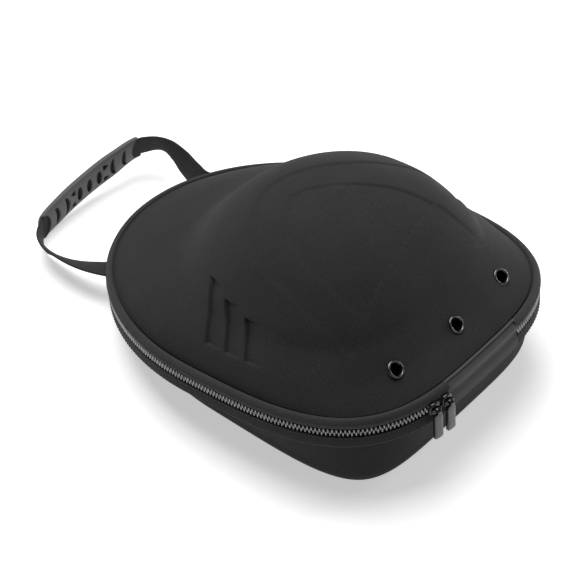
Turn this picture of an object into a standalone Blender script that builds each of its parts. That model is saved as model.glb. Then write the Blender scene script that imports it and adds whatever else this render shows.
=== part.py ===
"""A moulded hard-shell carrier case for baseball caps: a domed lid and a wedge-shaped base joined by a zip
band, with a fabric hinge, two sliders, three eyelets and a webbing handle with a moulded grip.

The pieces are modelled in the rim frame: its origin is the middle of the outline where lid and base meet,
+Y points to the handle, +X to the right as seen from the broad end, +Z up. The rim frame is then pitched
so that the flat underside of the base lies level at Z = 0, with the world origin in its middle.
"""

import math

import bmesh
import bpy
import numpy as np
from mathutils import Matrix, Vector

MM = 0.001

# Overall shape
RIM_HALF_WIDTH = 117 * MM
RIM_HALF_LENGTH = 141 * MM
BROAD_END_SQUARENESS = 3.4
LID_HEIGHT = 83 * MM
BASE_DEPTH = 68 * MM
REST_PITCH = math.radians(5.5)
SHELL_WALL = 3.0 * MM
CLEARANCE = 0.3 * MM

# Base shell
BASE_INSET = 5.0 * MM
BASE_DRAFT = 6.0 * MM
BASE_CORNER_RADIUS = 15 * MM
LARGEST_CORNER_SHARE = 0.9
FOOT_SQUARENESS = 4.6
FLOOR_CENTRE_Y = -0.035 * RIM_HALF_LENGTH
FLOOR_RING_SHARE = 0.6

# Zip band, from the lid edge down
BAND_PROUD = 5.6 * MM
PIPING_RISE = 1.0 * MM
TAPE_THICKNESS = 2.0 * MM
UPPER_TAPE_HEIGHT = 5.5 * MM
CHAIN_WIDTH = 6.0 * MM
CHAIN_THICKNESS = 2.4 * MM
LOWER_TAPE_HEIGHT = 10.0 * MM
HINGE_HALF_LENGTH = 36 * MM

# Eyelets in the broad end of the lid
EYELET_SPACING = 56.5 * MM
EYELET_RISE = 13.0 * MM
EYELET_HOLE = 8.4 * MM
EYELET_BARREL_WALL = 0.8 * MM
EYELET_FLANGE = 12.2 * MM
EYELET_FLANGE_THICKNESS = 0.8 * MM
EYELET_STANDOFF = 0.9 * MM
EYELET_PAST_WALL = 1.5 * MM

# Louvres moulded in both sides of the lid
LOUVRE_COUNT = 3
LOUVRE_PITCH = 16.0 * MM
LOUVRE_WIDTH = 14.5 * MM
LOUVRE_FIRST = 9.0 * MM
LOUVRE_TOP = 38.0 * MM
LOUVRE_BOTTOM = 14.5 * MM
LOUVRE_SLANT = 17.0 * MM
LOUVRE_DEPTH = 1.8 * MM

# Sliders and their pulls
SLIDER_LENGTH = 9.0 * MM
SLIDER_HEIGHT = 9.0 * MM
SLIDER_THICKNESS = 2.2 * MM
SLIDER_SPACING = 10.4 * MM
CROWN_GAP = 1.8 * MM
CROWN_BAR = 1.4 * MM
CROWN_HALF_SPAN = 2.6 * MM
SLIDER_CORNER = 1.9 * MM
PULL_EYE_WALL = 0.9 * MM
PULL_EYE_WIDTH = 3.0 * MM
PULL_LENGTH = 22.0 * MM
PULL_WIDTH = 6.8 * MM
PULL_THICKNESS = 2.4 * MM
PULL_NECK_WIDTH = 3.0 * MM
PULL_SHOULDER = 3.5 * MM
PULL_TIP_CORNER = 1.1 * MM

# Handle
STRAP_WIDTH = 19.0 * MM
STRAP_THICKNESS = 1.6 * MM
HANDLE_ROOT_X = 53.0 * MM
HANDLE_ROOT_DROP = 20.0 * MM
HANDLE_MIDDLE_DROP = 16.0 * MM
HANDLE_LEAD = 7.0 * MM
HANDLE_HALF_SPAN = 66.0 * MM
HANDLE_REACH = 75.0 * MM
HANDLE_TILT = math.radians(7.5)
HANDLE_TILT_FROM = 0.7
GRIP_LENGTH = 106 * MM
GRIP_WIDTH = 24.5 * MM
GRIP_INNER_THICKNESS = 3.2 * MM
GRIP_OUTER_THICKNESS = 5.4 * MM
GRIP_END_THICKNESS = 0.80
GRIP_END_WIDTH = 0.95
GRIP_INNER_FLATNESS = 0.6
POCKET_DEPTH = 1.3 * MM

# How finely round shapes are divided
OUTLINE_POINTS = 64
LID_RINGS = 15
WALL_RINGS = 2
FILLET_RINGS = 4
BAND_STATIONS = 58
HINGE_STATIONS = 7
ROUND_POINTS = 20
LEG_STATIONS = 12
GRIP_STATIONS = 15
GRIP_POINTS = 16

# Lid sections: height as a share of LID_HEIGHT, half width of RIM_HALF_WIDTH, and the widest point, the
# reach towards the handle and the reach towards the broad end as shares of RIM_HALF_LENGTH.
# Columns: height, half_width, widest_at, handle_reach, broad_reach, squareness as a share of the rim's
LID_SECTIONS = np.array([
    (0.000, 1.000, 0.000, 1.000, 1.000, 1.00),
    (0.072, 0.970, -0.007, 0.929, 0.943, 0.97),
    (0.145, 0.940, -0.021, 0.844, 0.890, 0.94),
    (0.217, 0.897, -0.043, 0.738, 0.855, 0.91),
    (0.277, 0.855, -0.064, 0.631, 0.830, 0.88),
    (0.337, 0.816, -0.092, 0.539, 0.805, 0.85),
    (0.458, 0.765, -0.128, 0.447, 0.762, 0.84),
    (0.602, 0.690, -0.156, 0.369, 0.699, 0.82),
    (0.747, 0.595, -0.184, 0.270, 0.617, 0.80),
    (0.867, 0.460, -0.213, 0.142, 0.504, 0.76),
    (0.952, 0.295, -0.227, -0.028, 0.369, 0.68),
    (1.000, 0.000, -0.234, -0.234, 0.234, 0.64),
])
HANDLE_END_SQUARENESS = 2.0

# Handle centreline beyond the rim, from a root to the middle of the grip.
# Columns: out (share of HANDLE_REACH), across on the left and on the right (shares of HANDLE_HALF_SPAN), and
# how far the webbing's upper edge leans in towards the case, in degrees, on the left and on the right
HANDLE_SECTIONS = (
    (0.07, 0.955, 0.860, -72, -35),
    (0.22, 0.985, 0.895, -62, -22),
    (0.41, 0.995, 0.955, -49, -16),
    (0.61, 0.980, 1.000, -36, 5),
    (0.78, 0.920, 0.985, -14, 26),
    (0.90, 0.790, 0.880, 5, 22),
    (0.98, 0.390, 0.440, 12, 14),
    (1.00, 0.000, 0.000, 14, 14),
)
ROOT_LEAN = -90
LEAD_LEAN = -80

# Pockets in the inner face of the grip.
# Columns: kind, place along the grip as a share of its half length, place across as a share of its half
# width, length across as a share of GRIP_WIDTH and breadth along as a share of GRIP_LENGTH
POCKETS = (
    ("lens", 0.00, 0.0, 0.54, 0.050),
    ("lens", 0.20, 0.0, 0.54, 0.050),
    ("wedge", 0.34, 0.48, 0.22, 0.046),
    ("wedge", 0.34, -0.48, 0.22, 0.046),
    ("crescent", 0.52, 0.0, 0.68, 0.046),
    ("crescent", 0.74, 0.0, 0.68, 0.046),
)
# How far a crescent's two sides bulge towards the grip's middle, as shares of half its breadth
CRESCENT_FAR = 2.2
CRESCENT_NEAR = 0.6


def smooth_column(values, at):
    """A monotone cubic through a table column, read at positions from 0 (first row) to 1 (last row)."""
    slope = np.diff(values)
    product = slope[:-1] * slope[1:]
    total = np.where(product > 0, slope[:-1] + slope[1:], 1.0)
    inner = np.where(product > 0, 2 * product / total, 0.0)
    tangent = np.concatenate([slope[:1], inner, slope[-1:]])
    place = np.asarray(at, float) * (len(values) - 1)
    row = np.clip(place.astype(int), 0, len(values) - 2)
    u = place - row
    rise = values[row + 1] - values[row]
    bend = tangent[row] + tangent[row + 1] - 2 * rise
    return values[row] + u * (tangent[row] + u * (rise - tangent[row] - bend + u * bend))


def superellipse(angle, half_width, widest_at, handle_reach, broad_reach, squareness):
    """Points of a level outline and its outward directions, for an array of angles from +X."""
    c = np.cos(angle)
    s = np.sin(angle)
    power = np.where(s >= 0, HANDLE_END_SQUARENESS, squareness)
    reach = np.where(s >= 0, handle_reach - widest_at, broad_reach + widest_at)
    x = half_width * np.sign(c) * np.abs(c) ** (2 / power)
    y = reach * np.sign(s) * np.abs(s) ** (2 / power)
    out_x = np.sign(x) * np.abs(x / half_width) ** (power - 1) / half_width
    out_y = np.sign(y) * np.abs(y / reach) ** (power - 1) / reach
    size = np.hypot(out_x, out_y)
    return np.stack([x, y + widest_at], -1), np.stack([out_x / size, out_y / size], -1)


def rim_outline(angle, squareness=BROAD_END_SQUARENESS):
    return superellipse(angle, RIM_HALF_WIDTH, 0.0, RIM_HALF_LENGTH, RIM_HALF_LENGTH, squareness)


def angle_by_length():
    """Angles and lengths along the rim, measured from the middle of the broad end towards +X."""
    angle = np.linspace(-math.pi / 2, 3 * math.pi / 2, 4001)
    points, _ = rim_outline(angle)
    steps = np.hypot(*np.diff(points, axis=0).T)
    return angle, np.concatenate([[0.0], np.cumsum(steps)])


RIM_ANGLES, RIM_LENGTHS = angle_by_length()
RIM_LENGTH = RIM_LENGTHS[-1]


def rim_at(length):
    """Rim points and outward directions at lengths from the middle of the broad end."""
    return rim_outline(np.interp(np.mod(length, RIM_LENGTH), RIM_LENGTHS, RIM_ANGLES))


def lid_section(at):
    """The outline values of the lid at a table position from 0 (rim) to 1 (top)."""
    height, width, widest, handle, broad, square = [smooth_column(column, at) for column in LID_SECTIONS.T]
    return (
        height * LID_HEIGHT,
        width * RIM_HALF_WIDTH,
        widest * RIM_HALF_LENGTH,
        handle * RIM_HALF_LENGTH,
        broad * RIM_HALF_LENGTH,
        square * BROAD_END_SQUARENESS,
    )


def lid_section_at_height(height):
    at = np.linspace(0, 1, 401)
    return lid_section(np.interp(height, lid_section(at)[0], at))


def lid_side(y, height):
    """Distance of the lid's side surface from the middle plane."""
    _, half_width, widest, handle, broad, square = lid_section_at_height(height)
    reach = handle - widest if y > widest else broad + widest
    power = HANDLE_END_SQUARENESS if y > widest else square
    return half_width * (1 - abs((y - widest) / reach) ** power) ** (1 / power)


def lid_broad_end(x, height):
    """A point on the broad end of the lid."""
    _, half_width, widest, _, broad, square = lid_section_at_height(height)
    y = widest - (broad + widest) * (1 - abs(x / half_width) ** square) ** (1 / square)
    return Vector((x, y, height))


def closed_loop(index):
    return zip(index, np.roll(index, -1))


def material(name, colour, roughness, metallic=0.0):
    made = bpy.data.materials.new(name)
    made.use_nodes = True
    shader = made.node_tree.nodes["Principled BSDF"]
    shader.inputs["Base Color"].default_value = (*colour, 1.0)
    shader.inputs["Roughness"].default_value = roughness
    shader.inputs["Metallic"].default_value = metallic
    return made


def add_object(name, points, faces, surface, parent=None, matrix=None):
    """A closed mesh object with its faces turned outwards."""
    mesh = bpy.data.meshes.new(name)
    mesh.from_pydata([tuple(map(float, point)) for point in points], [], faces)
    shape = bmesh.new()
    shape.from_mesh(mesh)
    bmesh.ops.recalc_face_normals(shape, faces=shape.faces)
    shape.to_mesh(mesh)
    shape.free()
    mesh.shade_smooth()
    mesh.set_sharp_from_angle(angle=math.radians(35))
    made = bpy.data.objects.new(name, mesh)
    made.data.materials.append(surface)
    made.parent = parent
    if matrix is not None:
        made.matrix_local = matrix
    bpy.context.scene.collection.objects.link(made)
    return made


def add_helper(name, points, faces, parent=None, matrix=None):
    """A cutter or a piece that a Boolean joins on, which isn't part of the model by itself."""
    made = add_object(name, points, faces, HELPER_SURFACE, parent, matrix)
    made.hide_render = True
    made.display_type = "WIRE"
    return made


def combine(target, helper, operation):
    step = target.modifiers.new(helper.name, "BOOLEAN")
    step.operation = operation
    step.object = helper
    step.solver = "EXACT"


def skin(rings, closed_ends=True):
    """Points and faces of a surface through closed rings of equal count, with flat ends."""
    rings = np.asarray(rings, float)
    count, around = rings.shape[:2]
    index = np.arange(count * around).reshape(count, around)
    faces = [
        (int(a), int(b), int(d), int(c))
        for low, high in zip(index[:-1], index[1:])
        for (a, b), (c, d) in zip(closed_loop(low), closed_loop(high))
    ]
    if closed_ends:
        faces.append(tuple(int(i) for i in index[0][::-1]))
        faces.append(tuple(int(i) for i in index[-1]))
    return rings.reshape(-1, 3), faces


def prism(outline, low, high, axes):
    """An outline in the plane of two axes, drawn out along the third. Axes name where each value goes."""
    rings = []
    for level in (low, high):
        ring = np.zeros((len(outline), 3))
        ring[:, axes[0]] = [point[0] for point in outline]
        ring[:, axes[1]] = [point[1] for point in outline]
        ring[:, axes[2]] = level
        rings.append(ring)
    return skin(rings)


def joined(shapes):
    """Several point and face lists as one."""
    points, faces = [], []
    for more_points, more_faces in shapes:
        start = len(points)
        points.extend(more_points)
        faces.extend(tuple(i + start for i in face) for face in more_faces)
    return points, faces


def circle(radius, count=ROUND_POINTS):
    turn = np.linspace(0, 2 * math.pi, count, endpoint=False)
    return [(radius * math.cos(a), radius * math.sin(a)) for a in turn]


def outward_of(rings, pole):
    """Outward directions of a surface of rings that ends in a pole."""
    full = np.concatenate([rings, np.repeat(pole[None, None], rings.shape[1], 1)])
    along = np.gradient(full, axis=0)[:-1]
    around = np.roll(rings, -1, 1) - np.roll(rings, 1, 1)
    normal = np.cross(around, along)
    return normal / np.linalg.norm(normal, axis=2, keepdims=True)


def hollow_shell(name, rings, pole, edge_height, surface):
    """A shell of even wall: rings from its open edge to a pole, and the same surface one wall further in."""
    upwards = 1 if pole[2] > edge_height else -1
    inside = rings - upwards * SHELL_WALL * outward_of(rings, pole)
    within = np.maximum if upwards > 0 else np.minimum
    inside[..., 2] = within(inside[..., 2], edge_height)
    inside[0, :, 2] = edge_height
    inside_pole = pole - np.array([0, 0, upwards * SHELL_WALL])
    count, around = rings.shape[:2]
    points = np.concatenate([rings.reshape(-1, 3), inside.reshape(-1, 3), pole[None], inside_pole[None]])
    outer = np.arange(count * around).reshape(count, around)
    inner = outer + count * around
    faces = []
    for grid, tip in ((outer, 2 * count * around), (inner, 2 * count * around + 1)):
        for low, high in zip(grid[:-1], grid[1:]):
            faces += [(a, b, d, c) for (a, b), (c, d) in zip(closed_loop(low), closed_loop(high))]
        faces += [(a, b, tip) for a, b in closed_loop(grid[-1])]
    faces += [(a, b, d, c) for (a, b), (c, d) in zip(closed_loop(outer[0]), closed_loop(inner[0]))]
    return add_object(name, points, [tuple(int(i) for i in face) for face in faces], surface, RIM)


def even_angles():
    return np.interp(np.arange(OUTLINE_POINTS) / OUTLINE_POINTS * RIM_LENGTH, RIM_LENGTHS, RIM_ANGLES)


def louvre_cutters():
    """Slanted wedges, deepest at their handle side, that press three louvres into each side of the lid."""
    shapes = []
    for side in (-1, 1):
        for number in range(LOUVRE_COUNT):
            deep_y = LOUVRE_FIRST - number * LOUVRE_PITCH
            corners = (
                (deep_y, LOUVRE_TOP, LOUVRE_DEPTH),
                (deep_y - LOUVRE_SLANT, LOUVRE_BOTTOM, LOUVRE_DEPTH),
                (deep_y - LOUVRE_SLANT - LOUVRE_WIDTH, LOUVRE_BOTTOM, -CLEARANCE),
                (deep_y - LOUVRE_WIDTH, LOUVRE_TOP, -CLEARANCE),
            )
            inner = [(side * (lid_side(y, z) - depth), y, z) for y, z, depth in corners]
            outer = [(side * (lid_side(y, z) + 2 * SHELL_WALL), y, z) for y, z, depth in corners]
            shapes.append(skin([inner, outer]))
    return joined(shapes)


def eyelet_frames():
    """Where the eyelets sit: a point on the lid and the outward direction there, as a matrix."""
    step = EYELET_HOLE / 8
    frames = []
    for x in (-EYELET_SPACING, 0.0, EYELET_SPACING):
        place = lid_broad_end(x, EYELET_RISE)
        sideways = lid_broad_end(x + step, EYELET_RISE) - lid_broad_end(x - step, EYELET_RISE)
        upwards = lid_broad_end(x, EYELET_RISE + step) - lid_broad_end(x, EYELET_RISE - step)
        outward = sideways.cross(upwards).normalized()
        turn = outward.to_track_quat("Z", "Y").to_matrix().to_4x4()
        frames.append(Matrix.Translation(place) @ turn)
    return frames


def build_lid():
    at = np.linspace(0, 1, LID_RINGS, endpoint=False)
    angles = even_angles()
    rings = []
    for section in zip(*lid_section(at)):
        points, _ = superellipse(angles, *section[1:])
        rings.append(np.column_stack([points, np.full(len(points), section[0])]))
    pole = np.array([0.0, LID_SECTIONS[-1, 2] * RIM_HALF_LENGTH, LID_HEIGHT])
    lid = hollow_shell("lid_shell", np.array(rings), pole, 0.0, FELT)
    combine(lid, add_helper("louvre_cutter", *louvre_cutters(), RIM), "DIFFERENCE")
    hole = circle(EYELET_HOLE / 2 + EYELET_BARREL_WALL + CLEARANCE)
    for number, frame in enumerate(eyelet_frames(), 1):
        bore = add_helper(
            f"eyelet_cutter_{number}", *prism(hole, -5 * SHELL_WALL, 5 * SHELL_WALL, (0, 1, 2)), RIM, frame
        )
        combine(lid, bore, "DIFFERENCE")


def build_eyelets():
    """A flanged ring in each hole: radius and height round the barrel's wall."""
    bore = EYELET_HOLE / 2
    barrel = bore + EYELET_BARREL_WALL
    flange = EYELET_FLANGE / 2
    seat = EYELET_STANDOFF
    top = seat + EYELET_FLANGE_THICKNESS
    back = -SHELL_WALL - EYELET_PAST_WALL
    wall = (
        (bore, back),
        (barrel, back),
        (barrel, seat),
        (flange, seat),
        (flange - EYELET_FLANGE_THICKNESS / 2, top),
        (bore + EYELET_FLANGE_THICKNESS / 4, top),
    )
    turn = np.linspace(0, 2 * math.pi, ROUND_POINTS, endpoint=False)
    rings = [[(r * math.cos(a), r * math.sin(a), z) for r, z in wall] for a in turn]
    points, faces = skin(rings + rings[:1], closed_ends=False)
    around = len(wall) * ROUND_POINTS
    faces = [tuple(i % around for i in face) for face in faces]
    for number, frame in enumerate(eyelet_frames(), 1):
        add_object(f"eyelet_{number}", points[:around], faces, DARK_METAL, RIM, frame)


def band_bottom():
    return UPPER_TAPE_HEIGHT + CHAIN_WIDTH + LOWER_TAPE_HEIGHT


def floor_height(y):
    """Underside of the base in the rim frame, which the pitch of the rim frame brings level."""
    return math.tan(REST_PITCH) * (y + RIM_HALF_LENGTH) - BASE_DEPTH


def base_ring(down, inwards_extra, up_from_floor, top):
    """One ring of the base: down is 0 at its top edge and 1 where the bottom's round edge begins."""
    squareness = BROAD_END_SQUARENESS + down * (FOOT_SQUARENESS - BROAD_END_SQUARENESS)
    points, outward = rim_outline(even_angles(), squareness)
    inset = BASE_INSET + BASE_DRAFT * down + inwards_extra
    points = points - np.asarray(inset)[..., None] * outward
    foot = floor_height(points[:, 1]) + up_from_floor
    return np.column_stack([points, top + (foot - top) * down])


def build_base():
    top = -band_bottom() - CLEARANCE
    rim, _ = rim_outline(even_angles())
    room = top - floor_height(rim[:, 1])
    radius = np.minimum(BASE_CORNER_RADIUS, LARGEST_CORNER_SHARE * room)
    rings = [base_ring(down, 0.0, radius, top) for down in np.linspace(0, 1, WALL_RINGS + 1)]
    for turn in np.linspace(0, math.pi / 2, FILLET_RINGS + 1)[1:]:
        rings.append(base_ring(1.0, radius * (1 - math.cos(turn)), radius * (1 - math.sin(turn)), top))
    edge = rings[-1]
    centre = np.array([0.0, FLOOR_CENTRE_Y, floor_height(FLOOR_CENTRE_Y)])
    rings.append(centre + FLOOR_RING_SHARE * (edge - centre))
    hollow_shell("base_shell", np.array(rings), centre, top, FELT)


def sweep(section, lengths):
    """A closed section of (offset from the rim outline, height) carried along lengths of the rim."""
    points, outward = rim_at(lengths)
    rings = []
    for point, out in zip(points, outward):
        rings.append([(*(point + offset * out), height) for offset, height in section])
    return skin(rings)


def band_lengths():
    end = HINGE_HALF_LENGTH + CLEARANCE
    return np.linspace(end, RIM_LENGTH - end, BAND_STATIONS)


def top_lip():
    """From under the lid edge over the padded binding's bead to the top of the band's outer face."""
    return [
        (-SHELL_WALL, -CLEARANCE),
        (CLEARANCE, -CLEARANCE),
        (0.35 * BAND_PROUD, PIPING_RISE),
        (0.80 * BAND_PROUD, 0.4 * PIPING_RISE),
        (BAND_PROUD, -TAPE_THICKNESS),
    ]


def top_lip_underside():
    return [
        (BAND_PROUD - TAPE_THICKNESS, -TAPE_THICKNESS - CLEARANCE),
        (-SHELL_WALL, -TAPE_THICKNESS - CLEARANCE),
    ]


def bottom_lip():
    """From the foot of the band's outer face round the lip that lies over the base's top edge."""
    bottom = -band_bottom()
    return [
        (BAND_PROUD, bottom + TAPE_THICKNESS),
        (0.75 * BAND_PROUD, bottom),
        (-BASE_INSET - SHELL_WALL, bottom),
        (-BASE_INSET - SHELL_WALL, bottom + TAPE_THICKNESS),
        (BAND_PROUD - TAPE_THICKNESS, bottom + TAPE_THICKNESS),
    ]


def build_band():
    chain_top = -UPPER_TAPE_HEIGHT
    chain_bottom = chain_top - CHAIN_WIDTH
    inside = BAND_PROUD - TAPE_THICKNESS
    foot = chain_top + CLEARANCE
    head = chain_bottom - CLEARANCE
    upper = top_lip() + [(BAND_PROUD, foot), (inside, foot)] + top_lip_underside()
    lower = [(inside, head), (BAND_PROUD, head)] + bottom_lip()
    add_object("zip_tape_upper", *sweep(upper, band_lengths()), TAPE, RIM)
    add_object("zip_tape_lower", *sweep(lower, band_lengths()), TAPE, RIM)
    chain = (
        (BAND_PROUD - CHAIN_THICKNESS, chain_top),
        (BAND_PROUD, chain_top),
        (BAND_PROUD, chain_bottom),
        (BAND_PROUD - CHAIN_THICKNESS, chain_bottom),
    )
    add_object("zip_chain", *sweep(chain, band_lengths()), TEETH, RIM)


def build_hinge():
    """One strip of cloth over the whole height of the band, between the two ends of the chain."""
    section = top_lip() + bottom_lip() + top_lip_underside()
    lengths = np.linspace(-HINGE_HALF_LENGTH, HINGE_HALF_LENGTH, HINGE_STATIONS)
    add_object("hinge_strip", *sweep(section, lengths), FELT, RIM)


def slider_frames():
    """Matrices on the chain: +X along it, +Y up and +Z straight out of the band."""
    frames = []
    for number in range(2):
        length = -(HINGE_HALF_LENGTH + CLEARANCE + SLIDER_LENGTH / 2 + (1 - number) * SLIDER_SPACING)
        point, out = rim_at(length)
        out = Vector((*out, 0.0))
        up = Vector((0.0, 0.0, 1.0))
        along = up.cross(out)
        place = Vector((*point, -UPPER_TAPE_HEIGHT - CHAIN_WIDTH / 2)) + out * BAND_PROUD
        turn = Matrix((along, up, out)).transposed().to_4x4()
        frames.append(Matrix.Translation(place) @ turn)
    return frames


def both_sides(right_side):
    """An outline from its right half, listed bottom to top, and the same points mirrored back down."""
    return list(right_side) + [(-x, y) for x, y in reversed(right_side)]


def slider_height():
    """How far the slider's outer face lies from the chain, and how far the bar of its crown does."""
    face = CLEARANCE + SLIDER_THICKNESS
    return face, face + CROWN_GAP + CROWN_BAR / 2


def slider_plate():
    length = SLIDER_LENGTH / 2
    height = SLIDER_HEIGHT / 2
    return both_sides([
        (length - SLIDER_CORNER, -height),
        (length, -height + SLIDER_CORNER),
        (length, height - SLIDER_CORNER),
        (length - SLIDER_CORNER, height),
    ])


def crown_arch():
    """The crown seen from above: two legs that stand in the slider's face, with the bar across them."""
    face, bar = slider_height()
    leg = CROWN_HALF_SPAN + CROWN_BAR
    half = CROWN_BAR / 2
    return both_sides([
        (CROWN_HALF_SPAN, bar - half),
        (CROWN_HALF_SPAN, face - CLEARANCE),
        (leg, face - CLEARANCE),
        (leg, bar),
        (leg - half, bar + half),
    ])


def pull_tab(neck_top):
    half = PULL_WIDTH / 2
    return both_sides([
        (half - PULL_TIP_CORNER, -PULL_LENGTH),
        (half, -PULL_LENGTH + PULL_TIP_CORNER),
        (half, neck_top - PULL_SHOULDER),
        (PULL_NECK_WIDTH / 2, neck_top),
    ])


def build_pull(number, pivot):
    """A flat tab that hangs from an eye round the crown's bar. The pivot lies on the bar's axis."""
    bore_radius = CROWN_BAR * math.sqrt(0.5) + CLEARANCE
    bore = circle(bore_radius)
    eye = circle(bore_radius + PULL_EYE_WALL)
    tab = pull_tab(-bore_radius - PULL_EYE_WALL / 2)
    half = PULL_THICKNESS / 2
    width = PULL_EYE_WIDTH / 2
    pull = add_object(f"pull_{number}", *prism(tab, -half, half, (0, 1, 2)), BLACK_METAL, pivot)
    ring = add_helper(f"pull_eye_{number}", *prism(eye, -width, width, (1, 2, 0)), pivot)
    hole = add_helper(f"pull_bore_{number}", *prism(bore, -2 * width, 2 * width, (1, 2, 0)), pivot)
    combine(pull, ring, "UNION")
    combine(pull, hole, "DIFFERENCE")


def build_sliders():
    """A plate over the chain with an arched crown, whose bar carries the eye of the pull."""
    face, bar = slider_height()
    for number, frame in enumerate(slider_frames(), 1):
        plate = prism(slider_plate(), CLEARANCE, face, (0, 1, 2))
        crown = prism(crown_arch(), -CROWN_BAR / 2, CROWN_BAR / 2, (0, 2, 1))
        slider = add_object(f"slider_{number}", *plate, BLACK_METAL, RIM, frame)
        combine(slider, add_helper(f"crown_{number}", *crown, RIM, frame), "UNION")
        pivot = bpy.data.objects.new(f"pull_pivot_{number}", None)
        pivot.parent = RIM
        pivot.matrix_local = frame @ Matrix.Translation((0.0, 0.0, bar))
        bpy.context.scene.collection.objects.link(pivot)
        build_pull(number, pivot)


def handle_guide():
    """Chosen points of the handle's centreline, left root to right root, and the lean at each."""
    left, right = [], []
    for side, sections in ((-1, left), (1, right)):
        angle = math.acos(HANDLE_ROOT_X / RIM_HALF_WIDTH)
        point, out = rim_outline(np.array([angle]))
        root = point[0] + out[0] * (BAND_PROUD + CLEARANCE)
        lead = root + out[0] * HANDLE_LEAD
        for place, lean in ((root, ROOT_LEAN), (lead, LEAD_LEAN)):
            sections.append((side * place[0], place[1], -HANDLE_ROOT_DROP, lean))
        for beyond, left_across, right_across, left_lean, right_lean in HANDLE_SECTIONS:
            across, lean = (left_across, left_lean) if side < 0 else (right_across, right_lean)
            x = side * across * HANDLE_HALF_SPAN
            settled = min(1.0, beyond / HANDLE_TILT_FROM)
            level = math.tan(HANDLE_TILT) * x - HANDLE_MIDDLE_DROP
            z = settled * level - (1 - settled) * HANDLE_ROOT_DROP
            sections.append((x, RIM_HALF_LENGTH + beyond * HANDLE_REACH, z, lean))
    return np.array(left + right[-2::-1])


def curve_through(guide, lengths_wanted):
    """A smooth curve through guide rows, read at lengths along it; returns the rows."""
    knots = np.concatenate([[0.0], np.cumsum(np.linalg.norm(np.diff(guide[:, :3], axis=0), axis=1))])
    slope = np.diff(guide, axis=0) / np.diff(knots)[:, None]
    before, after = np.diff(knots)[:-1, None], np.diff(knots)[1:, None]
    inner = (slope[:-1] * after + slope[1:] * before) / (before + after)
    tangent = np.concatenate([slope[:1], inner, slope[-1:]])

    def read(at):
        row = np.clip(np.searchsorted(knots, at) - 1, 0, len(knots) - 2)
        width = (knots[row + 1] - knots[row])[:, None]
        u = (at - knots[row])[:, None] / width
        start, end = guide[row], guide[row + 1]
        leave, arrive = tangent[row] * width, tangent[row + 1] * width
        return (
            (1 + 2 * u) * (1 - u) ** 2 * start
            + u * (1 - u) ** 2 * leave
            + u * u * (3 - 2 * u) * end
            + u * u * (u - 1) * arrive
        )

    fine = np.linspace(0, knots[-1], 2001)
    travelled = np.concatenate(
        [[0.0], np.cumsum(np.linalg.norm(np.diff(read(fine)[:, :3], axis=0), axis=1))]
    )
    return read(np.interp(lengths_wanted(travelled[-1]), travelled, fine))


def handle_path():
    """Centre, width and outward directions along the webbing, and which rows the grip covers."""

    def lengths(total):
        start = (total - GRIP_LENGTH) / 2
        leg = np.linspace(0, start, LEG_STATIONS)
        grip = np.linspace(start, total - start, GRIP_STATIONS)
        return np.concatenate([leg[:-1], grip, total - leg[-2::-1]])

    rows = curve_through(handle_guide(), lengths)
    centre = rows[:, :3]
    along = np.gradient(centre, axis=0)
    along /= np.linalg.norm(along, axis=1, keepdims=True)
    inwards = np.cross(along, (0.0, 0.0, 1.0))
    inwards /= np.linalg.norm(inwards, axis=1, keepdims=True)
    upright = np.cross(inwards, along)
    lean = np.radians(rows[:, 3])[:, None]
    width = np.cos(lean) * upright + np.sin(lean) * inwards
    outward = np.cross(width, along)
    return centre, width, outward, slice(LEG_STATIONS - 1, LEG_STATIONS - 1 + GRIP_STATIONS)


def build_strap():
    centre, width, outward, _ = handle_path()
    across = STRAP_WIDTH / 2
    through = STRAP_THICKNESS / 2
    edge = [(across, through), (0.0, through), (-across, through)]
    edge += [(a, -t) for a, t in reversed(edge)]
    rings = [[c + a * w + t * n for a, t in edge] for c, w, n in zip(centre, width, outward)]
    add_object("handle_strap", *skin(rings), WEBBING, RIM)


def pocket_outline(kind, length, breadth, towards_end):
    """A pocket's outline as (along, across) points about its own middle."""
    half = length / 2
    if kind == "wedge":
        return [(-breadth / 2, -half), (breadth / 2, 0.0), (-breadth / 2, half)]
    across = half * np.cos(np.linspace(0, math.pi, 6))
    bulge = breadth / 2 * np.sqrt(np.maximum(0.0, 1 - (across / half) ** 2))
    far, near = (CRESCENT_FAR, CRESCENT_NEAR) if kind == "crescent" else (1.0, -1.0)
    outer = list(zip(-towards_end * far * bulge, across))
    return outer + list(zip(-towards_end * near * bulge[-2:0:-1], across[-2:0:-1]))


def pocket_cutters(centre, width, outward):
    """Plugs that press the pockets into the grip's inner face, mirrored about the grip's middle."""
    shapes = []
    face = -GRIP_INNER_THICKNESS
    stations = np.linspace(-1, 1, GRIP_STATIONS)
    for side in (-1, 1):
        for kind, place, offset, length, breadth in POCKETS:
            if side < 0 and place == 0:
                continue
            c, w, n = [
                np.array([np.interp(side * place, stations, row) for row in source.T])
                for source in (centre, width, outward)
            ]
            t = np.cross(w, n)
            middle = c + offset * GRIP_WIDTH / 2 * w
            outline = pocket_outline(kind, length * GRIP_WIDTH, breadth * GRIP_LENGTH, side)
            shapes.append(skin([
                [middle + level * n - x * t + y * w for x, y in outline]
                for level in (face + POCKET_DEPTH, face - GRIP_OUTER_THICKNESS)
            ]))
    return joined(shapes)


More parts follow.
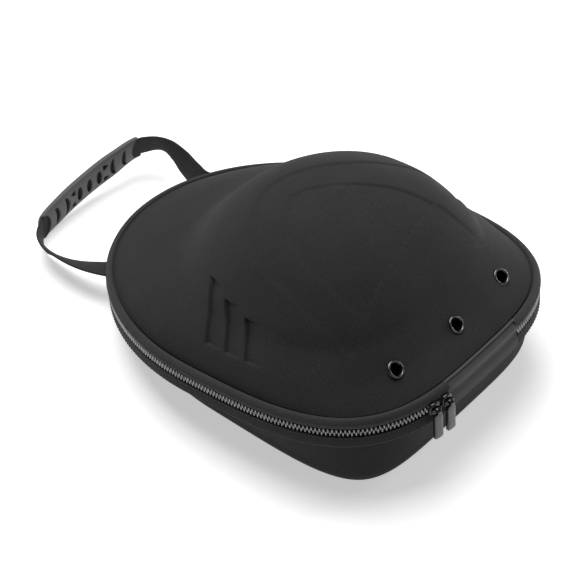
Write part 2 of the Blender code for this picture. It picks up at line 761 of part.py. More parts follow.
def build_grip():
    """A moulded sleeve over the webbing, flat inside and round outside, with pockets in its inner face."""
    centre, width, outward, rows = handle_path()
    centre, width, outward = centre[rows], width[rows], outward[rows]
    turn = np.linspace(0, 2 * math.pi, GRIP_POINTS, endpoint=False)
    across = np.cos(turn)
    through = np.sin(turn)
    thickness = np.where(through > 0, GRIP_OUTER_THICKNESS, GRIP_INNER_THICKNESS)
    flatness = np.where(through > 0, 1.0, GRIP_INNER_FLATNESS)
    bulge = thickness * np.sign(through) * np.abs(through) ** flatness
    body = np.column_stack([GRIP_WIDTH / 2 * across, bulge])
    square = 1 / np.maximum(np.abs(across), np.abs(through))
    slot = np.column_stack([
        (STRAP_WIDTH / 2 + CLEARANCE) * across * square,
        (STRAP_THICKNESS / 2 + CLEARANCE) * through * square,
    ])
    towards_end = np.abs(np.linspace(-1, 1, GRIP_STATIONS)) ** 3
    thinner = 1 - (1 - GRIP_END_THICKNESS) * towards_end
    narrower = 1 - (1 - GRIP_END_WIDTH) * towards_end
    outer, inner = [], []
    for c, w, n, thin, narrow in zip(centre, width, outward, thinner, narrower):
        outer.append([c + a * narrow * w + t * thin * n for a, t in body])
        inner.append([c + a * w + t * n for a, t in slot])
    count = GRIP_STATIONS * GRIP_POINTS
    points = np.concatenate([np.reshape(outer, (-1, 3)), np.reshape(inner, (-1, 3))])
    faces = skin(outer, closed_ends=False)[1]
    faces += [tuple(i + count for i in face) for face in skin(inner, closed_ends=False)[1]]
    for start in (0, count - GRIP_POINTS):
        ends = np.arange(start, start + GRIP_POINTS)
        faces += [(int(a), int(b), int(b + count), int(a + count)) for a, b in closed_loop(ends)]
    grip = add_object("handle_grip", points, faces, RUBBER, RIM)
    pockets = pocket_cutters(centre, width, outward)
    combine(grip, add_helper("pocket_cutter", *pockets, RIM), "DIFFERENCE")


for leftover in list(bpy.data.objects):
    bpy.data.objects.remove(leftover)

RIM = bpy.data.objects.new("rim_frame", None)
RIM.matrix_world = Matrix.Rotation(-REST_PITCH, 4, "X") @ Matrix.Translation(
    (0.0, -FLOOR_CENTRE_Y, -floor_height(FLOOR_CENTRE_Y))
)
bpy.context.scene.collection.objects.link(RIM)

FELT = material("charcoal_felt", (0.035, 0.036, 0.040), 0.95)
TAPE = material("zip_tape", (0.050, 0.050, 0.055), 0.90)
TEETH = material("zip_teeth", (0.060, 0.060, 0.065), 0.45)
BLACK_METAL = material("black_metal", (0.020, 0.020, 0.022), 0.25, 0.9)
DARK_METAL = material("dark_metal", (0.250, 0.250, 0.260), 0.35, 1.0)
WEBBING = material("webbing", (0.070, 0.070, 0.075), 0.85)
RUBBER = material("grip_rubber", (0.110, 0.110, 0.115), 0.60)
HELPER_SURFACE = material("helper", (0.8, 0.1, 0.1), 0.5)

build_lid()
build_eyelets()
build_base()
build_band()
build_hinge()
build_sliders()
build_strap()
build_grip()
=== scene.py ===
"""The looks of a moulded carrier case for baseball caps: brushed fabric shells with pressed louvres and
creases, a padded zip band with single teeth, vent eyelets, sliders, and a ribbed webbing handle with a grip.

Shapes are worked out in the rim frame, whose origin is the middle of the outline where lid and base meet,
with +Y to the handle, +X to the right seen from the broad end and +Z up. One fixed turn and shift puts
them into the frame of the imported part.
"""

import math

import bmesh
import bpy
import numpy as np
from mathutils import Matrix, Vector


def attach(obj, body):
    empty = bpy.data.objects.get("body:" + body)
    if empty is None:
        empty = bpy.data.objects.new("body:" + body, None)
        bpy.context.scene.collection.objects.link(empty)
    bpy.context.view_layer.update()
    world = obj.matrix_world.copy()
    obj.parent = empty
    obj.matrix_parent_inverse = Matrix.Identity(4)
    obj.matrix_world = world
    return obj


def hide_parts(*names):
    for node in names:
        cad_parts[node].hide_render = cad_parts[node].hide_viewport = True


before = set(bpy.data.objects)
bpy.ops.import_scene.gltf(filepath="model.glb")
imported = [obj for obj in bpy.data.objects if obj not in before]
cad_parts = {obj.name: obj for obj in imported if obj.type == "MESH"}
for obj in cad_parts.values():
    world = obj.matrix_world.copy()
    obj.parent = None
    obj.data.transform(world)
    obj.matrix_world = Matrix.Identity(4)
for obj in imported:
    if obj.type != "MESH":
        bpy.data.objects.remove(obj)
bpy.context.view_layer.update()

MM = 0.001

# Overall shape
RIM_HALF_WIDTH = 117 * MM
RIM_HALF_LENGTH = 141 * MM
BROAD_END_SQUARENESS = 3.4
HANDLE_END_SQUARENESS = 2.0
LID_HEIGHT = 83 * MM
BASE_DEPTH = 68 * MM
REST_PITCH = math.radians(5.5)
SHELL_WALL = 3.0 * MM
CLEARANCE = 0.3 * MM

# Base shell
BASE_INSET = 5.0 * MM
BASE_DRAFT = 6.0 * MM
BASE_CORNER_RADIUS = 15 * MM
LARGEST_CORNER_SHARE = 0.9
FOOT_SQUARENESS = 4.6
FLOOR_CENTRE_Y = -0.035 * RIM_HALF_LENGTH

# Zip band, from the lid edge down
BAND_PROUD = 5.6 * MM
PIPING_RISE = 1.1 * MM
UPPER_TAPE_HEIGHT = 5.5 * MM
CHAIN_WIDTH = 6.0 * MM
LOWER_TAPE_HEIGHT = 10.0 * MM
BAND_HEIGHT = UPPER_TAPE_HEIGHT + CHAIN_WIDTH + LOWER_TAPE_HEIGHT
CHAIN_MIDDLE = -UPPER_TAPE_HEIGHT - CHAIN_WIDTH / 2
HINGE_HALF_LENGTH = 36 * MM
HINGE_RISE = 0.45 * MM
HINGE_DIP = 1.3 * MM
HINGE_DIP_SPREAD = 3.6 * MM
SEAM_OVERLAP = 1.4 * MM
TOOTH_PITCH = 2.5 * MM
TOOTH_SIZE = (1.36 * MM, 3.9 * MM, 1.9 * MM)
STITCH_PITCH = 3.1 * MM
STITCH_SIZE = (2.3 * MM, 0.42 * MM, 0.34 * MM)

# Eyelets in the broad end of the lid
EYELET_SPACING = 56.5 * MM
EYELET_RISE = 13.0 * MM
EYELET_HOLE = 8.4 * MM
EYELET_FLANGE = 12.2 * MM
EYELET_SLACK = 0.9 * MM

# Louvres and creases pressed into the lid
LOUVRE_COUNT = 3
LOUVRE_PITCH = 16.0 * MM
LOUVRE_WIDTH = 14.5 * MM
LOUVRE_FIRST = 9.0 * MM
LOUVRE_TOP = 44.0 * MM
LOUVRE_TOP_STEP = 4.4 * MM
LOUVRE_BOTTOM = 14.5 * MM
LOUVRE_SLANT = 17.0 * MM
LOUVRE_DEPTH = 2.7 * MM
LOUVRE_EDGE = 1.1 * MM
CREASE_DEPTH = 0.9 * MM
CREASE_WIDTH = 3.0 * MM
CREASE_END = 0.80
CREASE_FADE = 0.22
SIDE_CREASE_SHARE = 0.45
SIDE_CREASE_SPREAD = 1.6 * MM
SIDE_CREASE_FADE_IN = 6 * MM
SIDE_CREASE_FADE_OUT = 30 * MM

# Sliders and pulls
SLIDER_LENGTH = 9.0 * MM
SLIDER_HEIGHT = 9.0 * MM
SLIDER_THICKNESS = 2.5 * MM
SLIDER_CORE = 2.2 * MM
SLIDER_SPACING = 10.4 * MM
CROWN_GAP = 1.8 * MM
CROWN_BAR = 1.4 * MM
CROWN_HALF_SPAN = 2.6 * MM
PULL_LENGTH = 22.0 * MM
PULL_WIDTH = 6.8 * MM
PULL_THICKNESS = 2.4 * MM

# Handle
STRAP_WIDTH = 19.0 * MM
STRAP_THICKNESS = 1.6 * MM
RIB_PITCH = 1.5 * MM
RIB_DEPTH = 0.3 * MM
HANDLE_ROOT_X = 53.0 * MM
HANDLE_ROOT_DROP = 20.0 * MM
HANDLE_MIDDLE_DROP = 16.0 * MM
HANDLE_LEAD = 7.0 * MM
HANDLE_HALF_SPAN = 66.0 * MM
HANDLE_REACH = 75.0 * MM
HANDLE_TILT = math.radians(7.5)
HANDLE_TILT_FROM = 0.7
GRIP_LENGTH = 106 * MM
GRIP_WIDTH = 24.5 * MM
GRIP_INNER_THICKNESS = 3.2 * MM
GRIP_OUTER_THICKNESS = 5.4 * MM
GRIP_END_THICKNESS = 0.80
GRIP_END_WIDTH = 0.95
GRIP_INNER_FLATNESS = 0.6
GRIP_SLACK = 0.25 * MM
POCKET_DEPTH = 2.2 * MM
POCKET_EDGE = 0.7 * MM
MOUTH_DEPTH = 8.0 * MM
MOUTH_WIDTH = 22.0 * MM

# The camera, in the rim frame: turn and rise about a point near the middle, distance, and roll
CAMERA_TURN = math.radians(-46.84)
CAMERA_RISE = math.radians(38.14)
CAMERA_DISTANCE = 1.2
CAMERA_OFFSET = (20.5 * MM, 1.7 * MM)
CAMERA_ROLL = math.radians(-5.0)
CAMERA_FOCAL = 1800 / 576

# Floor and light. Each soft box has a name, a place, a size in metres and a power in watts
FLOOR_HALF_SIZE = 6.0
FLOOR_TONE = 0.93
FLOOR_GLOW = 0.5
SKY_STRENGTH = 0.05
LIGHT_AIM = (0.0, 0.0, 0.05)
LIGHTS = (
    ("top_box", (0.2, 0.5, 1.45), 1.3, 27),
    ("right_box", (1.8, -0.5, 0.25), 0.7, 17),
)

# Lid sections from the rim to the top. Columns: height (share of LID_HEIGHT), half width (of
# RIM_HALF_WIDTH), widest place and reach to the handle and to the broad end (of RIM_HALF_LENGTH), and
# squareness (of BROAD_END_SQUARENESS)
LID_SECTIONS = np.array([
    (0.000, 1.000, 0.000, 1.000, 1.000, 1.00),
    (0.072, 0.970, -0.007, 0.929, 0.943, 0.97),
    (0.145, 0.940, -0.021, 0.844, 0.890, 0.94),
    (0.217, 0.897, -0.043, 0.738, 0.855, 0.91),
    (0.277, 0.855, -0.064, 0.631, 0.830, 0.88),
    (0.337, 0.816, -0.092, 0.539, 0.805, 0.85),
    (0.458, 0.765, -0.128, 0.447, 0.762, 0.84),
    (0.602, 0.690, -0.156, 0.369, 0.699, 0.82),
    (0.747, 0.595, -0.184, 0.270, 0.617, 0.80),
    (0.867, 0.460, -0.213, 0.142, 0.504, 0.76),
    (0.952, 0.295, -0.227, -0.028, 0.369, 0.68),
    (1.000, 0.000, -0.234, -0.234, 0.234, 0.64),
])

# Two nested creases seen from above, from the near end of the broad side round the crown and back.
# Columns: x as a share of RIM_HALF_WIDTH, y as a share of RIM_HALF_LENGTH
OUTER_CREASE = (
    (-0.61, -0.71), (-0.64, -0.62), (-0.66, -0.51), (-0.65, -0.40), (-0.64, -0.29), (-0.60, -0.18),
    (-0.53, -0.09), (-0.43, -0.02), (-0.30, 0.05), (-0.16, 0.09), (-0.05, 0.08), (0.05, 0.04),
    (0.15, -0.02), (0.27, -0.13), (0.42, -0.25), (0.57, -0.34), (0.71, -0.42), (0.79, -0.49),
)
INNER_CREASE = (
    (-0.47, -0.74), (-0.49, -0.66), (-0.51, -0.58), (-0.52, -0.48), (-0.51, -0.39), (-0.47, -0.29),
    (-0.40, -0.20), (-0.30, -0.12), (-0.20, -0.08), (-0.10, -0.09), (-0.02, -0.15), (0.08, -0.24),
    (0.17, -0.33), (0.27, -0.43), (0.36, -0.55), (0.46, -0.66), (0.53, -0.73),
)
# The faint crease that runs on from the last louvre: y and height as shares
SIDE_CREASE = ((-0.22, 0.42), (-0.34, 0.405), (-0.47, 0.345), (-0.61, 0.277))

# Handle centreline beyond the rim, from a root to the middle of the grip.
# Columns: out (share of HANDLE_REACH), across on the left and on the right (shares of HANDLE_HALF_SPAN), and
# how far the webbing's upper edge leans in towards the case, in degrees, on the left and on the right
HANDLE_SECTIONS = (
    (0.07, 0.955, 0.860, -72, -35),
    (0.22, 0.985, 0.895, -62, -22),
    (0.41, 0.995, 0.955, -49, -16),
    (0.61, 0.980, 1.000, -36, 5),
    (0.78, 0.920, 0.985, -14, 26),
    (0.90, 0.790, 0.880, 5, 22),
    (0.98, 0.390, 0.440, 12, 14),
    (1.00, 0.000, 0.000, 14, 14),
)
ROOT_LEAN = -90
LEAD_LEAN = -80

# Pockets in the inner face of the grip.
# Columns: kind, place along the grip as a share of its half length, place across as a share of its half
# width, length across as a share of GRIP_WIDTH and breadth along as a share of GRIP_LENGTH
POCKETS = (
    ("lens", 0.00, 0.0, 0.54, 0.050),
    ("lens", 0.20, 0.0, 0.54, 0.050),
    ("wedge", 0.34, 0.48, 0.22, 0.046),
    ("wedge", 0.34, -0.48, 0.22, 0.046),
    ("crescent", 0.52, 0.0, 0.68, 0.046),
    ("crescent", 0.74, 0.0, 0.68, 0.046),
)
CRESCENT_FAR = 2.2
CRESCENT_NEAR = 0.6


# Curves and grids of points

def smooth(x):
    """An S-shaped step from 0 to 1: x squared times 3 less 2 x."""
    x = np.clip(x, 0, 1)
    return x * x * (3 - 2 * x)


def unit(vectors):
    return vectors / np.linalg.norm(vectors, axis=-1, keepdims=True)


def running_total(steps):
    """Sums of steps so far, from 0."""
    return np.concatenate([[0.0], np.cumsum(steps)])


def path_lengths(points):
    """Distance along a line of points, at each of them."""
    return running_total(np.linalg.norm(np.diff(points, axis=0), axis=1))


def full_turn(count):
    """Even angles round a circle."""
    return np.arange(count) / count * 2 * math.pi


def smooth_column(values, at):
    """A monotone cubic through a table column, read at positions from 0 (first row) to 1 (last row)."""
    slope = np.diff(values)
    product = slope[:-1] * slope[1:]
    total = np.where(product > 0, slope[:-1] + slope[1:], 1.0)
    inner = np.where(product > 0, 2 * product / total, 0.0)
    tangent = np.concatenate([slope[:1], inner, slope[-1:]])
    place = np.asarray(at, float) * (len(values) - 1)
    row = np.clip(place.astype(int), 0, len(values) - 2)
    u = place - row
    rise = values[row + 1] - values[row]
    bend = tangent[row] + tangent[row + 1] - 2 * rise
    return values[row] + u * (tangent[row] + u * (rise - tangent[row] - bend + u * bend))


def superellipse(angle, half_width, widest_at, handle_reach, broad_reach, squareness):
    """Level outline: x is half_width cos^(2/p), y is reach sin^(2/p), with its own p and reach each way."""
    c = np.cos(angle)
    s = np.sin(angle)
    power = np.where(s >= 0, HANDLE_END_SQUARENESS, squareness)
    reach = np.where(s >= 0, handle_reach - widest_at, broad_reach + widest_at)
    x = half_width * np.sign(c) * np.abs(c) ** (2 / power)
    y = reach * np.sign(s) * np.abs(s) ** (2 / power)
    slope_x = np.sign(x) * np.abs(x / half_width) ** (power - 1) / half_width
    slope_y = np.sign(y) * np.abs(y / reach) ** (power - 1) / reach
    return np.stack([x, y + widest_at], -1), unit(np.stack([slope_x, slope_y], -1))


def rim_outline(angle, squareness=BROAD_END_SQUARENESS):
    return superellipse(angle, RIM_HALF_WIDTH, 0.0, RIM_HALF_LENGTH, RIM_HALF_LENGTH, squareness)


RIM_ANGLES = np.linspace(-math.pi / 2, 3 * math.pi / 2, 8001)
RIM_STEPS = np.hypot(*np.diff(rim_outline(RIM_ANGLES)[0], axis=0).T)
RIM_LENGTHS = running_total(RIM_STEPS)
RIM_LENGTH = RIM_LENGTHS[-1]


def rim_at(length):
    """Rim points and outward directions at lengths from the middle of the broad end."""
    return rim_outline(np.interp(np.mod(length, RIM_LENGTH), RIM_LENGTHS, RIM_ANGLES))


def even_angles(count):
    return np.interp(np.arange(count) / count * RIM_LENGTH, RIM_LENGTHS, RIM_ANGLES)


def lid_section(at):
    """The outline values of the lid at table positions from 0 (rim) to 1 (top), one row for each value."""
    scale = (LID_HEIGHT, RIM_HALF_WIDTH, *[RIM_HALF_LENGTH] * 3, BROAD_END_SQUARENESS)
    return np.array([size * smooth_column(column, at) for size, column in zip(scale, LID_SECTIONS.T)])


def lid_broad_end(x, height):
    """A point on the broad end of the lid."""
    at = np.linspace(0, 1, 801)
    _, half_width, widest, _, broad, square = lid_section(np.interp(height, lid_section(at)[0], at))
    y = widest - (broad + widest) * (1 - abs(x / half_width) ** square) ** (1 / square)
    return Vector((x, y, height))


def grid_faces(rows, columns, wrap_rows=False, wrap_columns=True, start=0):
    """Quads between the points of a grid that lie row after row."""
    r = np.arange(rows if wrap_rows else rows - 1)[:, None]
    c = np.arange(columns if wrap_columns else columns - 1)[None]
    r_next = (r + 1) % rows * columns
    c_next = (c + 1) % columns
    r = r * columns
    quads = np.stack([r + c, r + c_next, r_next + c_next, r_next + c], -1)
    return start + quads.reshape(-1, 4)


def fan(ring, tip):
    """Triangles from a closed ring of point numbers to one tip."""
    return np.stack([ring, np.roll(ring, -1), np.full(len(ring), tip)], -1)


def capped_faces(grid):
    """Faces of a tube of closed rings, with one flat face over each end."""
    rows, columns = grid.shape[:2]
    ring = np.arange(columns)[None]
    return [grid_faces(rows, columns), ring, (rows - 1) * columns + ring[:, ::-1]]


def with_tips(grid, tips):
    """Points and faces of a tube of closed rings whose ends draw in to two tips."""
    rows, columns = grid.shape[:2]
    count = rows * columns
    first = fan(np.arange(columns), count)
    last = fan(np.arange(count - columns, count), count + 1)
    return np.concatenate([grid.reshape(-1, 3), tips]), [grid_faces(rows, columns), first[:, ::-1], last]


def turned(section, count):
    """A section of (radius, height) carried round its axis, which is the last coordinate."""
    turn = full_turn(count)[:, None]
    radius = section[:, 0]
    height = np.broadcast_to(section[:, 1], (count, len(section)))
    return np.stack([radius * np.cos(turn), radius * np.sin(turn), height], -1)


def mirrored(corners):
    """Corners of an outline repeated on the other side of its middle line, in reverse order."""
    return [(-x, y, radius) for x, y, radius in reversed(corners)]


def rounded(corners, steps=5):
    """A closed outline whose corners, given as x, y and radius, are turned by quadratic arcs."""
    corners = np.array(corners, float)
    point, radius = corners[:, :2], corners[:, 2:]
    before = unit(np.roll(point, 1, 0) - point)
    after = unit(np.roll(point, -1, 0) - point)
    t = np.linspace(0, 1, steps)[:, None, None]
    start, end = point + radius * before, point + radius * after
    arc = (1 - t) ** 2 * start + 2 * t * (1 - t) * point + t * t * end
    return arc.transpose(1, 0, 2).reshape(-1, 2)


def smooth_line(points, count):
    """A Catmull-Rom curve through points, as count points at even steps of its parameter."""
    points = np.array(points, float)
    padded = np.concatenate([2 * points[:1] - points[1:2], points, 2 * points[-1:] - points[-2:-1]])
    place = np.linspace(0, len(points) - 1, count)
    row = np.minimum(place.astype(int), len(points) - 2)
    u = (place - row)[:, None]
    a, b, c, d = (padded[row + i] for i in range(4))
    square, cube = 2 * a - 5 * b + 4 * c - d, 3 * b - a - 3 * c + d
    return 0.5 * (2 * b + u * (c - a) + u * u * square + u ** 3 * cube)


def outward_of(rings, pole):
    """Outward directions of a surface of rings that ends in a pole."""
    full = np.concatenate([rings, np.broadcast_to(pole, (1, *rings.shape[1:]))])
    along = np.gradient(full, axis=0)[:-1]
    around = np.roll(rings, -1, 1) - np.roll(rings, 1, 1)
    return unit(np.cross(around, along))


# From shapes to objects

def floor_height(y):
    return math.tan(REST_PITCH) * (y + RIM_HALF_LENGTH) - BASE_DEPTH


RIM_TO_PART = Matrix.Rotation(-REST_PITCH, 4, "X") @ Matrix.Translation(
    (0.0, -FLOOR_CENTRE_Y, -floor_height(FLOOR_CENTRE_Y))
)


def placed(points, matrix=RIM_TO_PART):
    """Points moved by a matrix, as whole arrays."""
    matrix = np.array(matrix)
    return np.asarray(points) @ matrix[:3, :3].T + matrix[:3, 3]


def linked(name, data):
    """A new object in the scene."""
    made = bpy.data.objects.new(name, data)
    bpy.context.scene.collection.objects.link(made)
    return made


def add_piece(name, points, faces, surface, replaced=(), body="case", marks=None, sharp=50):
    """One closed mesh in the part's frame, with its finish, body and the nodes that it stands for.

    faces is a list of arrays or lists of corner numbers; marks are values stored at the points by name.
    """
    mesh = bpy.data.meshes.new(name)
    corners = [face for group in faces for face in np.asarray(group).tolist()]
    mesh.from_pydata(placed(points).tolist(), [], corners)
    for mark, values in (marks or {}).items():
        kind, field = ("FLOAT", "value") if np.ndim(values) == 1 else ("FLOAT_VECTOR", "vector")
        stored = mesh.attributes.new(mark, kind, "POINT")
        stored.data.foreach_set(field, np.ravel(values).astype(np.float32))
    shape = bmesh.new()
    shape.from_mesh(mesh)
    bmesh.ops.recalc_face_normals(shape, faces=shape.faces)
    shape.to_mesh(mesh)
    shape.free()
    mesh.shade_smooth()
    mesh.set_sharp_from_angle(angle=math.radians(sharp))
    mesh.materials.append(surface.material)
    made = linked(name, mesh)
    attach(made, body)
    if replaced:
        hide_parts(*replaced)
    return made


def finish_modifiers(made):
    """Replaces a piece's mesh by what its modifiers make of it."""
    graph = bpy.context.evaluated_depsgraph_get()
    mesh = bpy.data.meshes.new_from_object(made.evaluated_get(graph))
    made.modifiers.clear()
    made.data = mesh


def sweep(section, lengths):
    """A closed section of (offset from the rim outline, height), carried along lengths of the rim."""
    points, outward = rim_at(lengths)
    plan = points[:, None] + section[None, :, :1] * outward[:, None]
    height = np.broadcast_to(section[:, 1], plan.shape[:2])
    return np.concatenate([plan, height[..., None]], -1)


def flat_lay(lengths, across, shape):
    """Lengths along and distances across as points on flat cloth, one for each place of a grid."""
    along = np.broadcast_to(lengths[:, None], shape)
    return np.stack([along, np.broadcast_to(across, shape), np.zeros(shape)], -1).reshape(-1, 3)


def cloth_marks(grid, lengths):
    """Where each point lies on flat cloth: length along the sweep and distance round its section."""
    return flat_lay(lengths, path_lengths(grid[0]), grid.shape[:2])


def add_strip(name, section, lengths, surface, replaced=()):
    """A closed section carried along the rim and capped at both ends."""
    grid = sweep(section, lengths)
    marks = {"cloth": cloth_marks(grid, lengths)}
    add_piece(name, grid.reshape(-1, 3), capped_faces(grid), surface, replaced, marks=marks)


def capsule(size, around=8, along=6):
    """A rounded bar about the origin: an ellipse section along Y whose ends close by a fourth-power law."""
    turn = full_turn(around)
    share = np.linspace(-1, 1, along + 2)[1:-1]
    wide = (1 - np.abs(share) ** 4) ** 0.5
    x = size[0] / 2 * wide[:, None] * np.cos(turn)
    z = size[2] / 2 * wide[:, None] * np.sin(turn)
    y = np.broadcast_to(size[1] / 2 * share[:, None], x.shape)
    tips = [(0, -size[1] / 2, 0), (0, size[1] / 2, 0)]
    return with_tips(np.stack([x, y, z], -1), tips)


def repeated(template, places, x_axis, y_axis, z_axis):
    """Copies of a template's points and faces at many places, each with its own three axes."""
    points, faces = template
    copies = (
        places[:, None]
        + points[None, :, :1] * x_axis[:, None]
        + points[None, :, 1:2] * y_axis[:, None]
        + points[None, :, 2:] * z_axis[:, None]
    )
    shift = (np.arange(len(places)) * len(points))[:, None, None]
    return copies.reshape(-1, 3), [(group[None] + shift).reshape(-1, group.shape[1]) for group in faces]


def band_axes(lengths):
    """Directions at lengths of the rim: along it, up, and straight out, and the rim's points."""
    plan, out = rim_at(lengths)
    flat = np.zeros((len(plan), 1))
    out = np.concatenate([out, flat], 1)
    up = np.broadcast_to((0.0, 0.0, 1.0), out.shape)
    return np.concatenate([plan, flat], 1), np.cross(up, out), up, out


# Finishes

class Number:
    """A shader socket that Python's operators work on. Each operation adds one Math node."""

    def __init__(self, surface, socket):
        self.surface = surface
        self.socket = socket

    def math(self, operation, *values):
        return self.surface.node("ShaderNodeMath", {"operation": operation}, *values)

    def __add__(self, other):
        return self.math("ADD", self, other)

    def __mul__(self, other):
        return self.math("MULTIPLY", self, other)

    __radd__ = __add__
    __rmul__ = __mul__

    def sine(self):
        return self.math("SINE", self)

    def step(self, low, high):
        """0 below low, 1 above high, smooth between."""
        settings = {"interpolation_type": "SMOOTHSTEP"}
        return self.surface.node("ShaderNodeMapRange", settings, self, low, high, 0.0, 1.0)


class Surface:
    """A material on one Principled shader. Constants go on its sockets, nodes come from one method."""

    def __init__(self, name, colour, **constants):
        self.material = bpy.data.materials.new(name)
        self.material.use_nodes = True
        self.tree = self.material.node_tree
        self.shader = self.tree.nodes["Principled BSDF"]
        self.shader.inputs["Base Color"].default_value = (*colour, 1.0)
        for socket, value in constants.items():
            self.shader.inputs[socket.replace("_", " ")].default_value = value

    def node(self, kind, settings, *values, output=0, **named):
        made = self.tree.nodes.new(kind)
        for name, value in settings.items():
            setattr(made, name, value)
        for key, value in [*enumerate(values), *named.items()]:
            target = made.inputs[key.replace("_", " ") if isinstance(key, str) else key]
            if isinstance(value, Number):
                self.tree.links.new(value.socket, target)
            else:
                target.default_value = value
        return Number(self, made.outputs[output])

    def feed(self, **sockets):
        for name, value in sockets.items():
            self.tree.links.new(value.socket, self.shader.inputs[name.replace("_", " ")])

    def place(self):
        return self.node("ShaderNodeTexCoord", {}, output="Object")

    def mark(self, name, output="Vector"):
        settings = {"attribute_type": "GEOMETRY", "attribute_name": name}
        return self.node("ShaderNodeAttribute", settings, output=output)

    def axis(self, vector, letter):
        return self.node("ShaderNodeSeparateXYZ", {}, vector, output=letter)

    def noise(self, where, size, detail=2.0, roughness=0.5):
        """Noise from 0 to 1, whose features are about size across, in metres."""
        return self.node(
            "ShaderNodeTexNoise", {}, Vector=where, Scale=1 / size, Detail=detail, Roughness=roughness
        )

    def mix(self, share, low, high):
        """A colour between two others."""
        made = self.tree.nodes.new("ShaderNodeMix")
        made.data_type = "RGBA"
        for index, value in ((0, share), (6, low), (7, high)):
            if isinstance(value, Number):
                self.tree.links.new(value.socket, made.inputs[index])
            else:
                made.inputs[index].default_value = (*value, 1.0) if index else value
        return Number(self, made.outputs[2])

    def bump(self, height, distance, strength, over=None):
        """A normal from a height of 0 to 1 that stands for distance metres, over another one."""
        under = {"Normal": over} if over else {}
        return self.node(
            "ShaderNodeBump", {}, Strength=strength, Distance=distance, Height=height, **under
        )


def grey(value):
    return (value, value, value)


def brushed_fabric(name, dark, light):
    """Short brushed knit pressed over foam: cloudy tone, fine flecks and a fibrous nap."""
    surface = Surface(
        name, grey(dark), Roughness=0.92, Sheen_Weight=0.06, Sheen_Roughness=0.45,
        Sheen_Tint=(0.75, 0.75, 0.78, 1.0), Specular_IOR_Level=0.12,
    )
    place = surface.place()
    clouds = surface.noise(place, 22 * MM, detail=3.0)
    flecks = surface.noise(place, 0.9 * MM, detail=3.0, roughness=0.7)
    fibres = surface.noise(place, 0.45 * MM, detail=4.0, roughness=0.75)
    tone = clouds * 0.35 + flecks.step(0.30, 0.75) * 0.65
    surface.feed(Base_Color=surface.mix(tone, grey(dark), grey(light)))
    surface.feed(Roughness=0.86 + fibres * 0.12)
    pile = surface.bump(fibres, 0.12 * MM, 0.55)
    surface.feed(Normal=surface.bump(clouds, 0.35 * MM, 0.25, over=pile))
    return surface


def woven_tape(name, dark, light, rib):
    """Tape or binding with fine ribs across it and a yarn that crosses them, both on the cloth's own lay."""
    surface = Surface(
        name, grey(dark), Roughness=0.9, Sheen_Weight=0.05, Sheen_Roughness=0.5, Specular_IOR_Level=0.15,
    )
    cloth = surface.mark("cloth")
    along = surface.axis(cloth, "X")
    across = surface.axis(cloth, "Y")
    turn = 2 * math.pi / rib
    weft = (along * turn).sine() * 0.5 + 0.5
    warp = (across * turn * 1.3).sine() * 0.5 + 0.5
    weave = weft * 0.6 + weft * warp * 0.4
    wear = surface.noise(surface.place(), 9 * MM, detail=3.0)
    fuzz = surface.noise(surface.place(), 0.5 * MM, detail=3.0, roughness=0.7)
    surface.feed(Base_Color=surface.mix(weave * 0.45 + wear * 0.3 + fuzz * 0.25, grey(dark), grey(light)))
    surface.feed(Roughness=0.82 + fuzz * 0.15)
    surface.feed(Normal=surface.bump(weave + fuzz * 0.6, 0.16 * MM, 0.6))
    return surface


def webbing_cloth():
    """Ribbed webbing: yarns cross each rib, with painted shade as a darker stripe once each rib pitch for
    the valleys.
    """
    surface = Surface(
        "webbing_cloth", grey(0.02), Roughness=0.85, Sheen_Weight=0.05, Sheen_Roughness=0.5,
        Specular_IOR_Level=0.15,
    )
    cloth = surface.mark("cloth")
    along = surface.axis(cloth, "X")
    across = surface.axis(cloth, "Y")
    # rib: painted shade, a stripe that darkens once each rib pitch for the valleys between ribs
    rib = (along * (2 * math.pi / RIB_PITCH)).sine() * 0.5 + 0.5
    yarn = (across * (2 * math.pi / (0.7 * MM)) + along * 900).sine() * 0.5 + 0.5
    fuzz = surface.noise(surface.place(), 0.6 * MM, detail=3.0, roughness=0.7)
    surface.feed(Base_Color=surface.mix(rib * 0.65 + yarn * 0.15 + fuzz * 0.2, grey(0.003), grey(0.062)))
    surface.feed(Roughness=0.78 + fuzz * 0.18)
    surface.feed(Normal=surface.bump(yarn * 0.7 + fuzz * 0.5, 0.12 * MM, 0.6))
    return surface


def tooth_plastic():
    """Moulded satin teeth, nearly metallic in their gloss, a little duller where they rub."""
    surface = Surface(
        "tooth_plastic", grey(0.14), Roughness=0.34, Metallic=0.5, Specular_IOR_Level=0.8,
    )
    rub = surface.noise(surface.place(), 2.2 * MM, detail=3.0)
    surface.feed(Base_Color=surface.mix(rub, grey(0.14), grey(0.36)))
    surface.feed(Roughness=0.2 + rub * 0.2)
    surface.feed(Normal=surface.bump(rub, 0.05 * MM, 0.3))
    return surface


def black_gloss():
    """Gloss black over cast metal: a slight orange peel and a few dull handling marks."""
    surface = Surface(
        "black_gloss", grey(0.012), Roughness=0.18, Specular_IOR_Level=0.45,
        Coat_Weight=0.25, Coat_Roughness=0.08,
    )
    peel = surface.noise(surface.place(), 1.6 * MM, detail=2.0)
    smudge = surface.noise(surface.place(), 5 * MM, detail=4.0, roughness=0.65)
    surface.feed(Base_Color=surface.mix(smudge, grey(0.008), grey(0.03)))
    surface.feed(Roughness=0.10 + smudge.step(0.45, 0.75) * 0.18)
    surface.feed(Normal=surface.bump(peel, 0.04 * MM, 0.25))
    return surface


def satin_metal():
    """Dark satin eyelet metal with fine turning marks and patches of lighter tone."""
    surface = Surface("satin_metal", grey(0.08), Roughness=0.36, Metallic=1.0)
    grain = surface.noise(surface.place(), 0.35 * MM, detail=3.0)
    patch = surface.noise(surface.place(), 3 * MM, detail=2.0)
    surface.feed(Base_Color=surface.mix(patch, grey(0.07), grey(0.16)))
    surface.feed(Roughness=0.24 + grain * 0.2)
    surface.feed(Normal=surface.bump(grain, 0.03 * MM, 0.35))
    return surface


